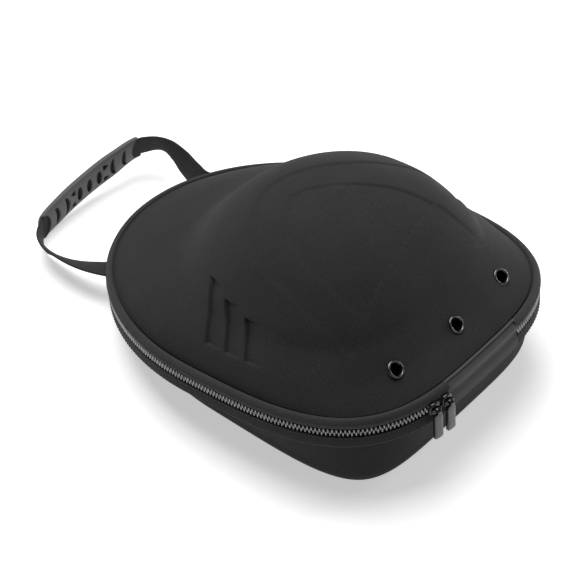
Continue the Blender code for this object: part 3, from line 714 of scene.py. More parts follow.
def grip_rubber():
    """Matt moulded rubber with a spark-eroded grain; painted shade darkens the pocket floors and the inside
    of the slot to near black, and the cut-back ends take the bared webbing's dark.
    """
    surface = Surface(
        "grip_moulding", grey(0.09), Roughness=0.62, Specular_IOR_Level=0.18,
    )
    place = surface.place()
    grain = surface.noise(place, 0.5 * MM, detail=3.0, roughness=0.6)
    patch = surface.noise(place, 14 * MM, detail=3.0)
    # The pocket mark: painted shade, near black, in the pocket floors and inside the slot; at the cut-back
    # ends the webbing's own dark.
    pocket = surface.mark("pocket", output="Fac")
    plain = surface.mix(patch * 0.6 + grain * 0.4, grey(0.10), grey(0.15))
    surface.feed(Base_Color=surface.mix(pocket, plain, grey(0.003)))
    surface.feed(Roughness=0.52 + grain * 0.2)
    surface.feed(Normal=surface.bump(grain, 0.06 * MM, 0.5))
    return surface


def sewing_thread():
    """Twisted thread with a slight lustre."""
    surface = Surface("sewing_thread", grey(0.05), Roughness=0.6, Sheen_Weight=0.2)
    twist = surface.noise(surface.place(), 0.4 * MM, detail=2.0)
    surface.feed(Base_Color=surface.mix(twist, grey(0.022), grey(0.07)))
    surface.feed(Normal=surface.bump(twist, 0.08 * MM, 0.5))
    return surface


FELT = brushed_fabric("charcoal_felt", 0.022, 0.044)
BINDING = brushed_fabric("binding_felt", 0.036, 0.066)
HINGE = brushed_fabric("hinge_felt", 0.062, 0.1)
TAPE = woven_tape("zip_tape_cloth", 0.014, 0.036, 0.8 * MM)
TEETH = tooth_plastic()
GLOSS = black_gloss()
EYELET = satin_metal()
WEBBING = webbing_cloth()
RUBBER = grip_rubber()
THREAD = sewing_thread()


# The shells

def shell_piece(name, outer, plain, pole, edge_height, surface, replaced, inner_rings=10):
    """A hollow moulding: a fine outer surface, and a coarser one a wall further in, joined at the edge.

    plain is the outer surface before anything is pressed into it.
    """
    upwards = 1 if pole[2] > edge_height else -1
    chosen = np.linspace(0, len(plain) - 1, inner_rings).astype(int)
    inner = (plain - upwards * SHELL_WALL * outward_of(plain, pole))[chosen]
    within = np.maximum if upwards > 0 else np.minimum
    inner[..., 2] = within(inner[..., 2], edge_height)
    inner[0, :, 2] = edge_height
    rows, around = outer.shape[:2]
    tips = np.array([pole, pole - (0, 0, upwards * SHELL_WALL)])
    points = np.concatenate([outer.reshape(-1, 3), inner.reshape(-1, 3), tips])
    start = rows * around
    end = start + inner_rings * around
    ring = np.arange(around)
    edge = np.stack([ring, np.roll(ring, -1), start + np.roll(ring, -1), start + ring], -1)
    faces = [
        grid_faces(rows, around),
        grid_faces(inner_rings, around, start=start),
        edge,
        fan(start - around + ring, end),
        fan(end - around + ring, end + 1),
    ]
    return add_piece(name, points, faces, surface, replaced)


def louvre_depth(y, z):
    """Three slanted wedges, deepest at their handle side and running out towards the broad end."""
    share = (z - LOUVRE_BOTTOM) / (LOUVRE_TOP - LOUVRE_BOTTOM)
    depth = np.zeros_like(y)
    for number in range(LOUVRE_COUNT):
        top = LOUVRE_TOP - number * LOUVRE_TOP_STEP
        ends = smooth((z - LOUVRE_BOTTOM) / LOUVRE_EDGE) * smooth((top - z) / LOUVRE_EDGE)
        behind = LOUVRE_FIRST - number * LOUVRE_PITCH - LOUVRE_SLANT * (1 - share) - y
        depth += ends * smooth(behind / LOUVRE_EDGE) * np.clip(1 - behind / LOUVRE_WIDTH, 0, 1)
    line = np.array(SIDE_CREASE)
    on_line = np.interp(-y, -line[:, 0] * RIM_HALF_LENGTH, line[:, 1] * LID_HEIGHT)
    fade = smooth((line[0, 0] * RIM_HALF_LENGTH - y) / SIDE_CREASE_FADE_IN)
    fade = fade * smooth((y - line[-1, 0] * RIM_HALF_LENGTH) / SIDE_CREASE_FADE_OUT)
    groove = np.exp(-(((z - on_line) / SIDE_CREASE_SPREAD) ** 2)) * fade
    return LOUVRE_DEPTH * depth + SIDE_CREASE_SHARE * CREASE_DEPTH * groove


def crease_depth(x, y, crease):
    """A step down on the inner side of a crease: an S-curve of the distance from its line in plan."""
    line = smooth_line(crease, 90) * (RIM_HALF_WIDTH, RIM_HALF_LENGTH)
    start, end = line[:-1], line[1:]
    nearest = np.full(x.shape, 1.0)
    inside = np.zeros(x.shape, bool)
    for (ax, ay), (bx, by) in zip(np.concatenate([start, line[-1:]]), np.concatenate([end, line[:1]])):
        crossed = (ay > y) != (by > y)
        with np.errstate(divide="ignore", invalid="ignore"):
            inside ^= crossed & (x < (bx - ax) * (y - ay) / (by - ay) + ax)
    for (ax, ay), (bx, by) in zip(start, end):
        span = (bx - ax) ** 2 + (by - ay) ** 2
        t = np.clip(((x - ax) * (bx - ax) + (y - ay) * (by - ay)) / span, 0, 1)
        nearest = np.minimum(nearest, np.hypot(x - ax - t * (bx - ax), y - ay - t * (by - ay)))
    signed = np.where(inside, nearest, -nearest)
    fade = smooth((y + CREASE_END * RIM_HALF_LENGTH) / (CREASE_FADE * RIM_HALF_LENGTH))
    return CREASE_DEPTH * smooth(signed / CREASE_WIDTH + 0.5) * fade


def spread(weight, measure, count):
    """Places along a measure at steps that shrink where the weight is large."""
    total = running_total(weight[:-1] * np.diff(measure))
    return np.interp(np.linspace(0, total[-1], count + 1)[:-1], total, np.arange(len(measure)))


def eyelet_frames():
    """Where the eyelets sit: a point on the lid and the outward direction there, as a matrix."""
    step = EYELET_HOLE / 8
    frames = []
    for x in (-EYELET_SPACING, 0.0, EYELET_SPACING):
        place = lid_broad_end(x, EYELET_RISE)
        sideways = lid_broad_end(x + step, EYELET_RISE) - lid_broad_end(x - step, EYELET_RISE)
        upwards = lid_broad_end(x, EYELET_RISE + step) - lid_broad_end(x, EYELET_RISE - step)
        turn = sideways.cross(upwards).to_track_quat("Z", "Y").to_matrix().to_4x4()
        frames.append(Matrix.Translation(place) @ turn)
    return frames


def build_lid():
    """Level superellipses up the table of sections, finer round the louvres, with the relief pressed in."""
    rim = rim_outline(RIM_ANGLES)[0]
    by_louvres = (np.abs(rim[:, 0]) > 0.8 * RIM_HALF_WIDTH) & (np.abs(rim[:, 1] + 16 * MM) < 36 * MM)
    angle = np.interp(
        spread(1 + 1.6 * by_louvres, RIM_LENGTHS, 520), np.arange(len(RIM_ANGLES)), RIM_ANGLES
    )
    fine = np.linspace(0, 1, 2001)
    height, half_width = lid_section(fine)[:2]
    rise = running_total(np.hypot(np.diff(height), np.diff(half_width)))
    at_louvres = (height > LOUVRE_BOTTOM - 2 * MM) & (height < LOUVRE_TOP + 2 * MM)
    at = np.interp(spread(1 + 0.7 * at_louvres, rise, 160), np.arange(len(fine)), fine)
    values = lid_section(at)[..., None]
    plan, _ = superellipse(angle[None], *values[1:])
    plain = np.concatenate([plan, np.broadcast_to(values[0], plan.shape[:2])[..., None]], -1)
    pole = np.array([0.0, LID_SECTIONS[-1, 2] * RIM_HALF_LENGTH, LID_HEIGHT])
    x, y, z = np.moveaxis(plain, -1, 0)
    pressed = louvre_depth(y, z)
    for crease in (OUTER_CREASE, INNER_CREASE):
        pressed = pressed + crease_depth(x, y, crease)
    outer = plain - pressed[..., None] * outward_of(plain, pole)
    sunk = pole - (0, 0, 2 * CREASE_DEPTH)
    lid = shell_piece("moulded_lid", outer, plain, sunk, 0.0, FELT, ["lid_shell"])
    cutters = []
    for matrix in eyelet_frames():
        shape = bmesh.new()
        radius = EYELET_HOLE / 2 + EYELET_SLACK
        bmesh.ops.create_cone(
            shape, cap_ends=True, segments=48, radius1=radius, radius2=radius, depth=30 * MM,
            matrix=RIM_TO_PART @ matrix,
        )
        mesh = bpy.data.meshes.new("bore")
        shape.to_mesh(mesh)
        shape.free()
        bore = linked("bore", mesh)
        cutters.append(bore)
        cut = lid.modifiers.new("bore", "BOOLEAN")
        cut.operation = "DIFFERENCE"
        cut.solver = "EXACT"
        cut.object = bore
    finish_modifiers(lid)
    for bore in cutters:
        bpy.data.objects.remove(bore)


def build_base():
    """The rim outline drawn in and down to the sloping underside, turned under by a round edge."""
    top = -BAND_HEIGHT - CLEARANCE
    angle = even_angles(400)
    room = top - floor_height(rim_outline(angle)[0][:, 1])
    radius = np.minimum(BASE_CORNER_RADIUS, LARGEST_CORNER_SHARE * room)

    def ring(down, drawn_in, above_floor):
        squareness = BROAD_END_SQUARENESS + down * (FOOT_SQUARENESS - BROAD_END_SQUARENESS)
        plan, outward = rim_outline(angle, squareness)
        plan = plan - np.reshape(BASE_INSET + BASE_DRAFT * down + drawn_in, (-1, 1)) * outward
        foot = floor_height(plan[:, 1]) + above_floor
        return np.column_stack([plan, top + (foot - top) * down])

    rings = [ring(down, 0.0, radius) for down in np.linspace(0, 1, 22)]
    for turn in np.linspace(0, math.pi / 2, 13)[1:]:
        rings.append(ring(1.0, radius * (1 - math.cos(turn)), radius * (1 - math.sin(turn))))
    centre = np.array([0.0, FLOOR_CENTRE_Y, floor_height(FLOOR_CENTRE_Y)])
    edge = rings[-1]
    rings += [centre + share * (edge - centre) for share in np.linspace(1, 0, 9)[1:-1]]
    outer = np.array(rings)
    shell_piece("moulded_base", outer, outer, centre, top, FELT, ["base_shell"])


def build_eyelets():
    """A ring turned from a rolled flange and a barrel: its section carried round the hole's axis."""
    bore = EYELET_HOLE / 2
    flange = EYELET_FLANGE / 2
    section = rounded([
        (bore, -4.5 * MM, 0.1 * MM),
        (bore + 0.7 * MM, -4.5 * MM, 0.1 * MM),
        (bore + 0.7 * MM, 0.2 * MM, 0.1 * MM),
        (flange, 0.1 * MM, 0.3 * MM),
        (flange - 0.1 * MM, 1.1 * MM, 0.5 * MM),
        (bore + 0.9 * MM, 1.75 * MM, 0.5 * MM),
        (bore, 1.0 * MM, 0.6 * MM),
    ], 6)
    for number, matrix in enumerate(eyelet_frames(), 1):
        grid = placed(turned(section, 56), matrix)
        faces = [grid_faces(*grid.shape[:2], wrap_rows=True)]
        add_piece(
            f"vent_ring_{number}", grid.reshape(-1, 3), faces, EYELET, [f"eyelet_{number}"]
        )


# The zip band

def band_lengths(count, past=0.0):
    """Places round the rim from one side of the hinge to the other."""
    end = HINGE_HALF_LENGTH + past
    return np.linspace(end, RIM_LENGTH - end, count)


def build_tapes():
    """Padded binding above the chain and flat tape below it: rounded sections carried round the rim."""
    out = BAND_PROUD
    foot = -UPPER_TAPE_HEIGHT
    upper = rounded([
        (-SHELL_WALL, -0.4 * MM, 0.2 * MM),
        (0.2 * MM, -1.7 * MM, 0.4 * MM),
        (1.5 * MM, PIPING_RISE, 1.1 * MM),
        (0.72 * out, PIPING_RISE, 1.6 * MM),
        (out + 0.2 * MM, -1.8 * MM, 1.6 * MM),
        (out + 0.35 * MM, 0.62 * foot, 1.4 * MM),
        (out - 0.1 * MM, foot + 0.2 * MM, 0.7 * MM),
        (out - 1.9 * MM, foot + 0.3 * MM, 0.4 * MM),
        (out - 2.2 * MM, -2.6 * MM, 0.5 * MM),
        (-SHELL_WALL, -2.3 * MM, 0.4 * MM),
    ], 6)
    add_strip("zip_binding", upper, band_lengths(560), BINDING, ["zip_tape_upper"])
    head = foot - CHAIN_WIDTH
    bottom = -BAND_HEIGHT
    lower = rounded([
        (out - 1.9 * MM, head - 0.3 * MM, 0.4 * MM),
        (out - 0.2 * MM, head - 0.3 * MM, 0.6 * MM),
        (out + 0.1 * MM, 0.55 * head + 0.45 * bottom, 1.4 * MM),
        (out - 0.1 * MM, bottom + 1.6 * MM, 1.0 * MM),
        (0.72 * out, bottom, 1.0 * MM),
        (-BASE_INSET - SHELL_WALL, bottom, 0.5 * MM),
        (-BASE_INSET - SHELL_WALL, bottom + 2 * MM, 0.5 * MM),
        (out - 2.1 * MM, bottom + 2 * MM, 0.5 * MM),
    ], 6)
    add_strip("zip_lower_tape", lower, band_lengths(560), TAPE, ["zip_tape_lower"])
    inset = out - 2.4 * MM
    backing = rounded([
        (inset, foot + 1.2 * MM, 0.2 * MM),
        (inset + 0.6 * MM, foot + 1.2 * MM, 0.2 * MM),
        (inset + 0.6 * MM, head - 1.2 * MM, 0.2 * MM),
        (inset, head - 1.2 * MM, 0.2 * MM),
    ], 3)
    add_strip("zip_backing", backing, band_lengths(420), TAPE)


def build_teeth():
    """Two rows of rounded teeth that reach past the middle between each other, one template repeated."""
    end = HINGE_HALF_LENGTH + TOOTH_PITCH
    count = int((RIM_LENGTH - 2 * end) / TOOTH_PITCH)
    upper = end + np.arange(count) * TOOTH_PITCH
    lower = upper + TOOTH_PITCH / 2
    reach = (CHAIN_WIDTH - TOOTH_SIZE[1]) / 2
    lengths = np.concatenate([upper, lower])
    height = np.concatenate([np.full(count, CHAIN_MIDDLE + reach), np.full(count, CHAIN_MIDDLE - reach)])
    points, along, up, out = band_axes(lengths)
    places = points + out * (BAND_PROUD - TOOTH_SIZE[2] / 2) + up * height[:, None]
    copies, faces = repeated(capsule(TOOTH_SIZE), places, along, up, out)
    add_piece("zip_teeth", copies, faces, TEETH, ["zip_chain"])


def stitch_rows():
    """Rows of stitches: lengths along the rim, height, and how far proud of the rim outline."""
    end = HINGE_HALF_LENGTH + 4 * MM
    count = int((RIM_LENGTH - 2 * end) / STITCH_PITCH)
    lengths = end + np.arange(count) * STITCH_PITCH
    above = -UPPER_TAPE_HEIGHT + 1.5 * MM
    below = -UPPER_TAPE_HEIGHT - CHAIN_WIDTH - 1.5 * MM
    foot = -BAND_HEIGHT + 2.1 * MM
    return [(lengths, above, 0.22 * MM), (lengths, below, 0.0), (lengths, foot, 0.0)]


def build_stitches():
    """Stitches beside the chain and along the foot of the band, and two upright rows at each hinge seam."""
    all_points, all_faces, start = [], [], 0

    def sew(places, x_axis, y_axis, z_axis):
        nonlocal start
        length, breadth, thickness = STITCH_SIZE
        points, faces = repeated(capsule((breadth, length, thickness), 6, 4), places, x_axis, y_axis, z_axis)
        all_points.append(points)
        all_faces.extend(group + start for group in faces)
        start += len(points)

    for lengths, height, proud in stitch_rows():
        points, along, up, out = band_axes(lengths)
        sew(points + up * height + out * (BAND_PROUD + proud), -up, along, out)
    for side in (-1, 1):
        for row in (0.7 * MM, 2.4 * MM):
            heights = np.arange(-BAND_HEIGHT + 2.6 * MM, -2.2 * MM, STITCH_PITCH)
            lengths = np.full(len(heights), side * (HINGE_HALF_LENGTH + SEAM_OVERLAP - row))
            points, along, up, out = band_axes(lengths)
            proud = hinge_face(heights)
            sew(points + up * heights[:, None] + out * proud[:, None], along, up, out)
    add_piece("band_stitches", np.concatenate(all_points), all_faces, THREAD)


def hinge_face(height):
    """How far the hinge cloth stands out of the rim outline: drawn in a little where it bends."""
    dip = np.exp(-(((height - CHAIN_MIDDLE) / HINGE_DIP_SPREAD) ** 2))
    return BAND_PROUD + HINGE_RISE - HINGE_DIP * dip


def build_hinge():
    """One cloth strip over the whole band, with a shallow hollow along its middle where it bends."""
    foot = -BAND_HEIGHT
    face_heights = np.linspace(-2.4 * MM, foot + 2.0 * MM, 26)
    face = np.column_stack([hinge_face(face_heights), face_heights])
    top = rounded([
        (-SHELL_WALL, -2.6 * MM, 0.3 * MM),
        (-SHELL_WALL, -0.4 * MM, 0.2 * MM),
        (0.2 * MM, -1.6 * MM, 0.4 * MM),
        (1.5 * MM, PIPING_RISE + 0.2 * MM, 1.1 * MM),
        (0.76 * BAND_PROUD, PIPING_RISE + 0.2 * MM, 1.7 * MM),
    ], 6)
    bottom = rounded([
        (0.78 * BAND_PROUD, foot - 0.1 * MM, 1.0 * MM),
        (-BASE_INSET - SHELL_WALL, foot - 0.1 * MM, 0.4 * MM),
        (-BASE_INSET - SHELL_WALL, foot + 2.2 * MM, 0.4 * MM),
        (BAND_PROUD - 2.6 * MM, foot + 2.2 * MM, 0.4 * MM),
    ], 6)
    section = np.concatenate([top, face, bottom, [(BAND_PROUD - 2.6 * MM, -2.6 * MM)]])
    end = HINGE_HALF_LENGTH + SEAM_OVERLAP
    lengths = np.linspace(-end, end, 90)
    add_strip("hinge_cloth", section, lengths, HINGE, ["hinge_strip"])


# Sliders and pulls

def slider_frames():
    """Matrices on the chain: +X along it, +Y up and +Z straight out of the band."""
    first = HINGE_HALF_LENGTH + CLEARANCE + SLIDER_LENGTH / 2
    lengths = -(first + np.array([1, 0]) * SLIDER_SPACING)
    frames = []
    for point, along, up, out in zip(*band_axes(lengths)):
        place = point + up * CHAIN_MIDDLE + out * BAND_PROUD
        turn = Matrix([along, up, out]).transposed().to_4x4()
        frames.append(Matrix.Translation(Vector(place)) @ turn)
    return frames


def pillow(outline, low, high, edge, domed=0.0):
    """A plate over an outline in X and Y with edges turned by quarter rounds and a slightly domed face."""
    middle = outline.mean(0)
    turn = np.linspace(0, math.pi / 2, 5)
    inset = edge * (1 - np.cos(turn))
    drop = edge * (1 - np.sin(turn))
    levels = [(inset[i], low + drop[i]) for i in range(4, -1, -1)]
    levels += [(inset[i], high - drop[i]) for i in range(5)]
    reach = np.abs(outline - middle).max()
    rings = []
    for inwards, level in levels:
        shrink = 1 - inwards / reach
        ring = middle + (outline - middle) * shrink
        rings.append(np.column_stack([ring, np.full(len(ring), level)]))
    crest = middle + 0.5 * (rings[-1][:, :2] - middle)
    rings.append(np.column_stack([crest, np.full(len(outline), high + domed)]))
    return with_tips(np.array(rings), [[*middle, low], [*middle, high + 1.3 * domed]])


def tube(path, across, through, sides=14):
    """An elliptic bar along a flat path in X and Z, with across along Y and through square to the path."""
    path = np.array(path, float)
    along = unit(np.gradient(path, axis=0))
    normal = np.column_stack([-along[:, 1], along[:, 0]])
    turn = full_turn(sides)
    plan = path[:, None] + through * np.sin(turn)[None, :, None] * normal[:, None]
    y = np.broadcast_to(across * np.cos(turn), plan.shape[:2])
    grid = np.stack([plan[..., 0], y, plan[..., 1]], -1)
    return with_tips(grid, [(x, 0, z) for x, z in path[[0, -1]]])


def ring_about_x(inner, outer, half_width):
    """A rounded ring about the X axis."""
    section = rounded([
        (inner, -half_width, 0.25 * MM),
        (outer, -half_width, 0.3 * MM),
        (outer, half_width, 0.3 * MM),
        (inner, half_width, 0.25 * MM),
    ], 4)
    grid = turned(section, 36)[..., [2, 0, 1]]
    return grid.reshape(-1, 3), [grid_faces(*grid.shape[:2], wrap_rows=True)]


def gathered(shapes):
    """Several point arrays and face lists as one."""
    points, faces, start = [], [], 0
    for more_points, more_faces in shapes:
        points.append(more_points)
        faces += [np.asarray(group) + start for group in more_faces]
        start += len(more_points)
    return np.concatenate(points), faces


def build_sliders():
    """A waisted body over the chain, a crown bridging it, and a flat pull that hangs from the crown."""
    length = SLIDER_LENGTH / 2
    height = SLIDER_HEIGHT / 2
    face = CLEARANCE + SLIDER_THICKNESS
    bar = CLEARANCE + SLIDER_CORE + CROWN_GAP + CROWN_BAR / 2
    right_half = [
        (0.55 * length, -0.80 * height, 1.0 * MM),
        (length, -0.45 * height, 1.2 * MM),
        (0.86 * length, 0.0, 1.4 * MM),
        (length, 0.45 * height, 1.2 * MM),
        (0.55 * length, 0.98 * height, 1.2 * MM),
    ]
    outline = rounded(right_half + mirrored(right_half))
    body = pillow(outline, CLEARANCE, face, 0.7 * MM, 0.25 * MM)
    leg = CROWN_HALF_SPAN + CROWN_BAR / 2
    rise = [
        (leg + 0.5 * MM, face - 1.0 * MM),
        (leg, face + 0.2 * MM),
        (leg - 0.2 * MM, bar - 0.6 * MM),
        (leg - 1.2 * MM, bar),
    ]
    arch = smooth_line([(-x, z) for x, z in rise] + [(0, bar + 0.05 * MM)] + rise[::-1], 40)
    crown = tube(arch, 1.0 * MM, 0.62 * MM)
    half = PULL_WIDTH / 2
    bore = CROWN_BAR * 0.72 + 0.3 * MM
    tab_side = [
        (2.4 * MM, -bore - 0.5 * MM, 0.4 * MM),
        (half, -bore - 2.6 * MM, 1.2 * MM),
        (half, -PULL_LENGTH + 0.4 * MM, 1.1 * MM),
    ]
    tab = rounded(tab_side + [(0.0, -PULL_LENGTH, 1.5 * MM)] + mirrored(tab_side), 6)
    thick = PULL_THICKNESS / 2
    pull = gathered([
        pillow(tab, -thick, thick, 0.55 * MM, 0.12 * MM),
        ring_about_x(bore, bore + 1.0 * MM, 1.5 * MM),
    ])
    for number, (matrix, body_name) in enumerate(zip(slider_frames(), ("left_pull", "right_pull")), 1):
        points, faces = gathered([body, crown])
        add_piece(
            f"slider_body_{number}", placed(points, matrix), faces, GLOSS,
            [f"slider_{number}"],
        )
        hung = matrix @ Matrix.Translation((0.0, 0.0, bar))
        add_piece(
            f"slider_pull_{number}", placed(pull[0], hung), pull[1], GLOSS,
            [f"pull_{number}"], body=body_name,
        )


# The handle

def handle_guide():
    """Chosen points of the handle's centreline, left root to right root, and the lean at each."""
    left, right = [], []
    for side, sections in ((-1, left), (1, right)):
        point, out = rim_outline(np.array([math.acos(HANDLE_ROOT_X / RIM_HALF_WIDTH)]))
        root = point[0] + out[0] * (BAND_PROUD + CLEARANCE)
        lead = root + out[0] * HANDLE_LEAD
        for place, lean in ((root, ROOT_LEAN), (lead, LEAD_LEAN)):
            sections.append((side * place[0], place[1], -HANDLE_ROOT_DROP, lean))
        for beyond, left_across, right_across, left_lean, right_lean in HANDLE_SECTIONS:
            across, lean = (left_across, left_lean) if side < 0 else (right_across, right_lean)
            x = side * across * HANDLE_HALF_SPAN
            settled = min(1.0, beyond / HANDLE_TILT_FROM)
            level = math.tan(HANDLE_TILT) * x - HANDLE_MIDDLE_DROP
            z = settled * level - (1 - settled) * HANDLE_ROOT_DROP
            sections.append((x, RIM_HALF_LENGTH + beyond * HANDLE_REACH, z, lean))
    return np.array(left + right[-2::-1])


def handle_curve():
    """A function that reads the handle's centre and lean at lengths along it, and its whole length."""
    guide = handle_guide()
    knots = path_lengths(guide[:, :3])
    slope = np.diff(guide, axis=0) / np.diff(knots)[:, None]
    before, after = np.diff(knots)[:-1, None], np.diff(knots)[1:, None]
    inner = (slope[:-1] * after + slope[1:] * before) / (before + after)
    tangent = np.concatenate([slope[:1], inner, slope[-1:]])

    def read(at):
        row = np.clip(np.searchsorted(knots, at) - 1, 0, len(knots) - 2)
        width = (knots[row + 1] - knots[row])[:, None]
        u = (at - knots[row])[:, None] / width
        start, end = guide[row], guide[row + 1]
        leave, arrive = tangent[row] * width, tangent[row + 1] * width
        return (
            (1 + 2 * u) * (1 - u) ** 2 * start
            + u * (1 - u) ** 2 * leave
            + u * u * (3 - 2 * u) * end
            + u * u * (u - 1) * arrive
        )

    fine = np.linspace(0, knots[-1], 4001)
    travelled = path_lengths(read(fine)[:, :3])
    return lambda length: read(np.interp(length, travelled, fine)), travelled[-1]


def handle_axes(lengths):
    """Centre, width direction and outward direction of the webbing at lengths along it."""
    read, _ = handle_curve()
    rows = read(lengths)
    step = 0.5 * MM
    along = unit(read(lengths + step)[:, :3] - read(lengths - step)[:, :3])
    inwards = unit(np.cross(along, (0.0, 0.0, 1.0)))
    upright = np.cross(inwards, along)
    lean = np.radians(rows[:, 3])[:, None]
    width = np.cos(lean) * upright + np.sin(lean) * inwards
    return rows[:, :3], width, np.cross(width, along), along


def laid(centre, width, outward, across, through):
    """Points beside the handle's centreline: across its width and through its thickness."""
    return centre[:, None] + across[..., None] * width[:, None] + through[..., None] * outward[:, None]


def build_strap():
    """Webbing: a flat rounded section along the handle, its faces rippled by one rib for each pitch."""
    _, total = handle_curve()
    lengths = np.linspace(0, total, int(total / RIB_PITCH * 7))
    centre, width, outward, along = handle_axes(lengths)
    root = 3.0 * MM * smooth(1 - np.minimum(lengths, total - lengths) / (4 * MM))
    centre = centre - along * (root * np.sign(total / 2 - lengths))[:, None]
    half = STRAP_WIDTH / 2
    thick = STRAP_THICKNESS / 2
    edge = 0.55 * MM
    right = [(half, -thick, edge), (half, thick, edge)]
    back = [(x, thick, 0.2 * MM) for x in (0.5 * half, 0.0, -0.5 * half)]
    front = [(-x, -y, radius) for x, y, radius in back]
    section = rounded(right + back + mirrored(right) + front, 3)
    ripple = RIB_DEPTH * np.abs(np.sin(math.pi * lengths / RIB_PITCH))[:, None]
    selvedge = smooth((half - np.abs(section[:, 0])) / (1.2 * MM))
    through = section[:, 1] + np.sign(section[:, 1]) * (ripple - RIB_DEPTH) * selvedge
    grid = laid(centre, width, outward, section[None, :, 0], through)
    marks = {"cloth": flat_lay(lengths, section[:, 0], grid.shape[:2])}
    faces = capped_faces(grid)
    add_piece("webbing_strap", grid.reshape(-1, 3), faces, WEBBING, ["handle_strap"], marks=marks)


def pocket_share(along, across):
    """How deep each place of the grip's inner face lies in a pocket, from 0 to 1."""
    deepest = np.zeros(np.broadcast(along, across).shape)
    for side in (-1, 1):
        for kind, place, offset, length, breadth in POCKETS:
            half = length * GRIP_WIDTH / 2
            half_breadth = breadth * GRIP_LENGTH / 2
            x = side * (along - side * place * GRIP_LENGTH / 2)
            y = across - offset * GRIP_WIDTH / 2
            bulge = half_breadth * np.sqrt(np.maximum(0.0, 1 - (y / half) ** 2))
            if kind == "lens":
                inside = bulge - np.abs(x)
            elif kind == "crescent":
                inside = np.minimum(CRESCENT_FAR * bulge + x, -x - CRESCENT_NEAR * bulge)
            else:
                slope = 2 * half_breadth / half
                inside = np.minimum(half_breadth - slope * np.abs(y) - x, x + half_breadth)
                inside = inside / math.hypot(1, slope)
            within = smooth((half - np.abs(y)) / POCKET_EDGE)
            deepest = np.maximum(deepest, smooth(inside / POCKET_EDGE + 0.5) * within)
    return deepest


def mouth_share(along, across):
    """1 where the grip's inner face is cut back at its ends in an arc that bares the webbing."""
    arc = MOUTH_DEPTH * np.sqrt(np.maximum(0.0, 1 - (2 * across / MOUTH_WIDTH) ** 2))
    return smooth((np.abs(along) - GRIP_LENGTH / 2 + arc) / POCKET_EDGE + 0.5)


def build_grip():
    """A sleeve along the webbing: round outside, flatter inside, thin at its ends, with pressed pockets."""
    _, total = handle_curve()
    share = np.linspace(-1, 1, 321)
    centre, width, outward, _ = handle_axes(total / 2 + share * GRIP_LENGTH / 2)
    turn = full_turn(132)
    across = np.cos(turn)
    through = np.sin(turn)
    thickness = np.where(through > 0, GRIP_OUTER_THICKNESS, GRIP_INNER_THICKNESS)
    flatness = np.where(through > 0, 1.0, GRIP_INNER_FLATNESS)
    body_across = GRIP_WIDTH / 2 * across
    body_through = thickness * np.sign(through) * np.abs(through) ** flatness
    towards_end = np.abs(share) ** 3
    rolled = np.sqrt(np.clip(1 - ((np.abs(share) - 0.975) / 0.025).clip(0) ** 2 * 0.5, 0, 1))
    thin = (1 - (1 - GRIP_END_THICKNESS) * towards_end) * rolled
    narrow = (1 - (1 - GRIP_END_WIDTH) * towards_end) * (0.3 * rolled + 0.7)
    a = body_across * narrow[:, None]
    t = body_through * thin[:, None]
    facing = (through < -0.25) * 1.0
    along = share[:, None] * GRIP_LENGTH / 2
    pocket = pocket_share(along, a) * facing
    mouth = mouth_share(along, a) * facing
    shallow = -STRAP_THICKNESS / 2 - CLEARANCE
    t = t + POCKET_DEPTH * pocket * (1 - mouth)
    t = np.where(through < 0, t + mouth * np.maximum(0.0, shallow - t), t)
    # pocket also becomes the colour mark here: painted shade in the pockets, the bared webbing's dark where
    # the ends are cut back
    pocket = np.maximum(pocket, mouth * 0.9)
    outer = laid(centre, width, outward, a, t)
    square = 1 / np.maximum(np.abs(across), np.abs(through))
    slot_across = (STRAP_WIDTH / 2 + GRIP_SLACK) * across * square
    slot_through = (STRAP_THICKNESS / 2 + GRIP_SLACK) * through * square
    chosen = np.linspace(len(share) - 1, 0, 12).astype(int)
    inner = laid(centre[chosen], width[chosen], outward[chosen], slot_across[None], slot_through[None])
    grid = np.concatenate([outer, inner])
    # Inside the slot the mark is 1: painted shade there as well
    marks = {"pocket": np.concatenate([pocket, np.ones(inner.shape[:2])]).reshape(-1)}
    faces = [grid_faces(*grid.shape[:2], wrap_rows=True)]
    add_piece("grip_sleeve", grid.reshape(-1, 3), faces, RUBBER, ["handle_grip"], marks=marks)


# Camera, floor and light

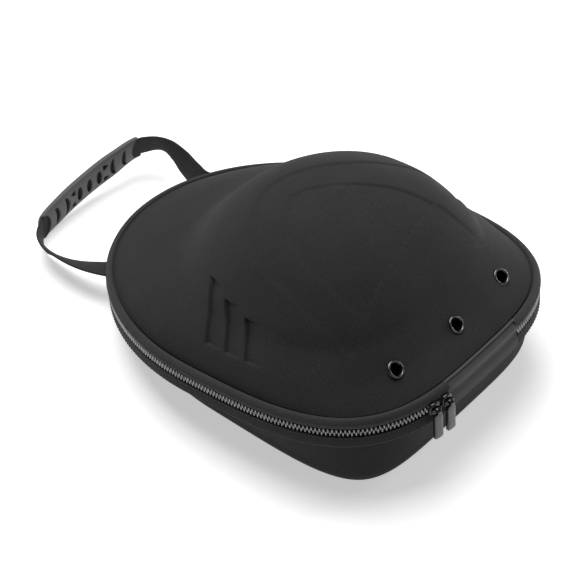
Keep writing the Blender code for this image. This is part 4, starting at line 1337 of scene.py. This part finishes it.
def build_camera():
    """A long lens at the photograph's angle, aimed at a point a little off the middle of the rim."""
    turn, rise = CAMERA_TURN, CAMERA_RISE
    back = Vector((math.sin(turn) * math.cos(rise), -math.cos(turn) * math.cos(rise), math.sin(rise)))
    right = Vector((math.cos(turn), math.sin(turn), 0.0))
    up = back.cross(right)
    rolled_right = math.cos(CAMERA_ROLL) * right + math.sin(CAMERA_ROLL) * up
    rolled_up = -math.sin(CAMERA_ROLL) * right + math.cos(CAMERA_ROLL) * up
    place = back * CAMERA_DISTANCE - Vector((*CAMERA_OFFSET, 0.0))
    axes = Matrix([rolled_right, rolled_up, back]).transposed().to_4x4()
    data = bpy.data.cameras.new("camera")
    data.lens = CAMERA_FOCAL * data.sensor_width
    camera = linked("camera", data)
    camera.matrix_world = RIM_TO_PART @ Matrix.Translation(place) @ axes
    bpy.context.scene.camera = camera


def build_floor():
    """A wide pale sheet that glows a little, so that it stays white round the case."""
    surface = Surface("studio_floor", grey(FLOOR_TONE), Roughness=0.9, Specular_IOR_Level=0.0)
    surface.shader.inputs["Emission Color"].default_value = (1.0, 1.0, 1.0, 1.0)
    surface.shader.inputs["Emission Strength"].default_value = FLOOR_GLOW
    signs = ((-1, -1), (1, -1), (1, 1), (-1, 1))
    corners = [(x * FLOOR_HALF_SIZE, y * FLOOR_HALF_SIZE, 0) for x, y in signs]
    mesh = bpy.data.meshes.new("studio_floor")
    mesh.from_pydata(corners, [], [(0, 1, 2, 3)])
    mesh.materials.append(surface.material)
    floor = linked("studio_floor", mesh)


def add_light(name, place, size, power):
    """A square soft box that faces the object."""
    data = bpy.data.lights.new(name, "AREA")
    data.size = size
    data.energy = power
    lamp = linked(name, data)
    lamp.location = place
    lamp.rotation_euler = (Vector(place) - Vector(LIGHT_AIM)).to_track_quat("Z", "Y").to_euler()


def build_light():
    """An even faint sky and the soft boxes."""
    world = bpy.data.worlds.new("studio_world")
    world.use_nodes = True
    sky = world.node_tree.nodes["Background"]
    sky.inputs["Color"].default_value = (1.0, 1.0, 1.0, 1.0)
    sky.inputs["Strength"].default_value = SKY_STRENGTH
    bpy.context.scene.world = world
    bpy.context.scene.view_settings.view_transform = "Standard"
    for light in LIGHTS:
        add_light(*light)


build_camera()
build_floor()
build_light()
build_lid()
build_base()
build_eyelets()
build_tapes()
build_teeth()
build_hinge()
build_stitches()
build_sliders()
build_strap()
build_grip()
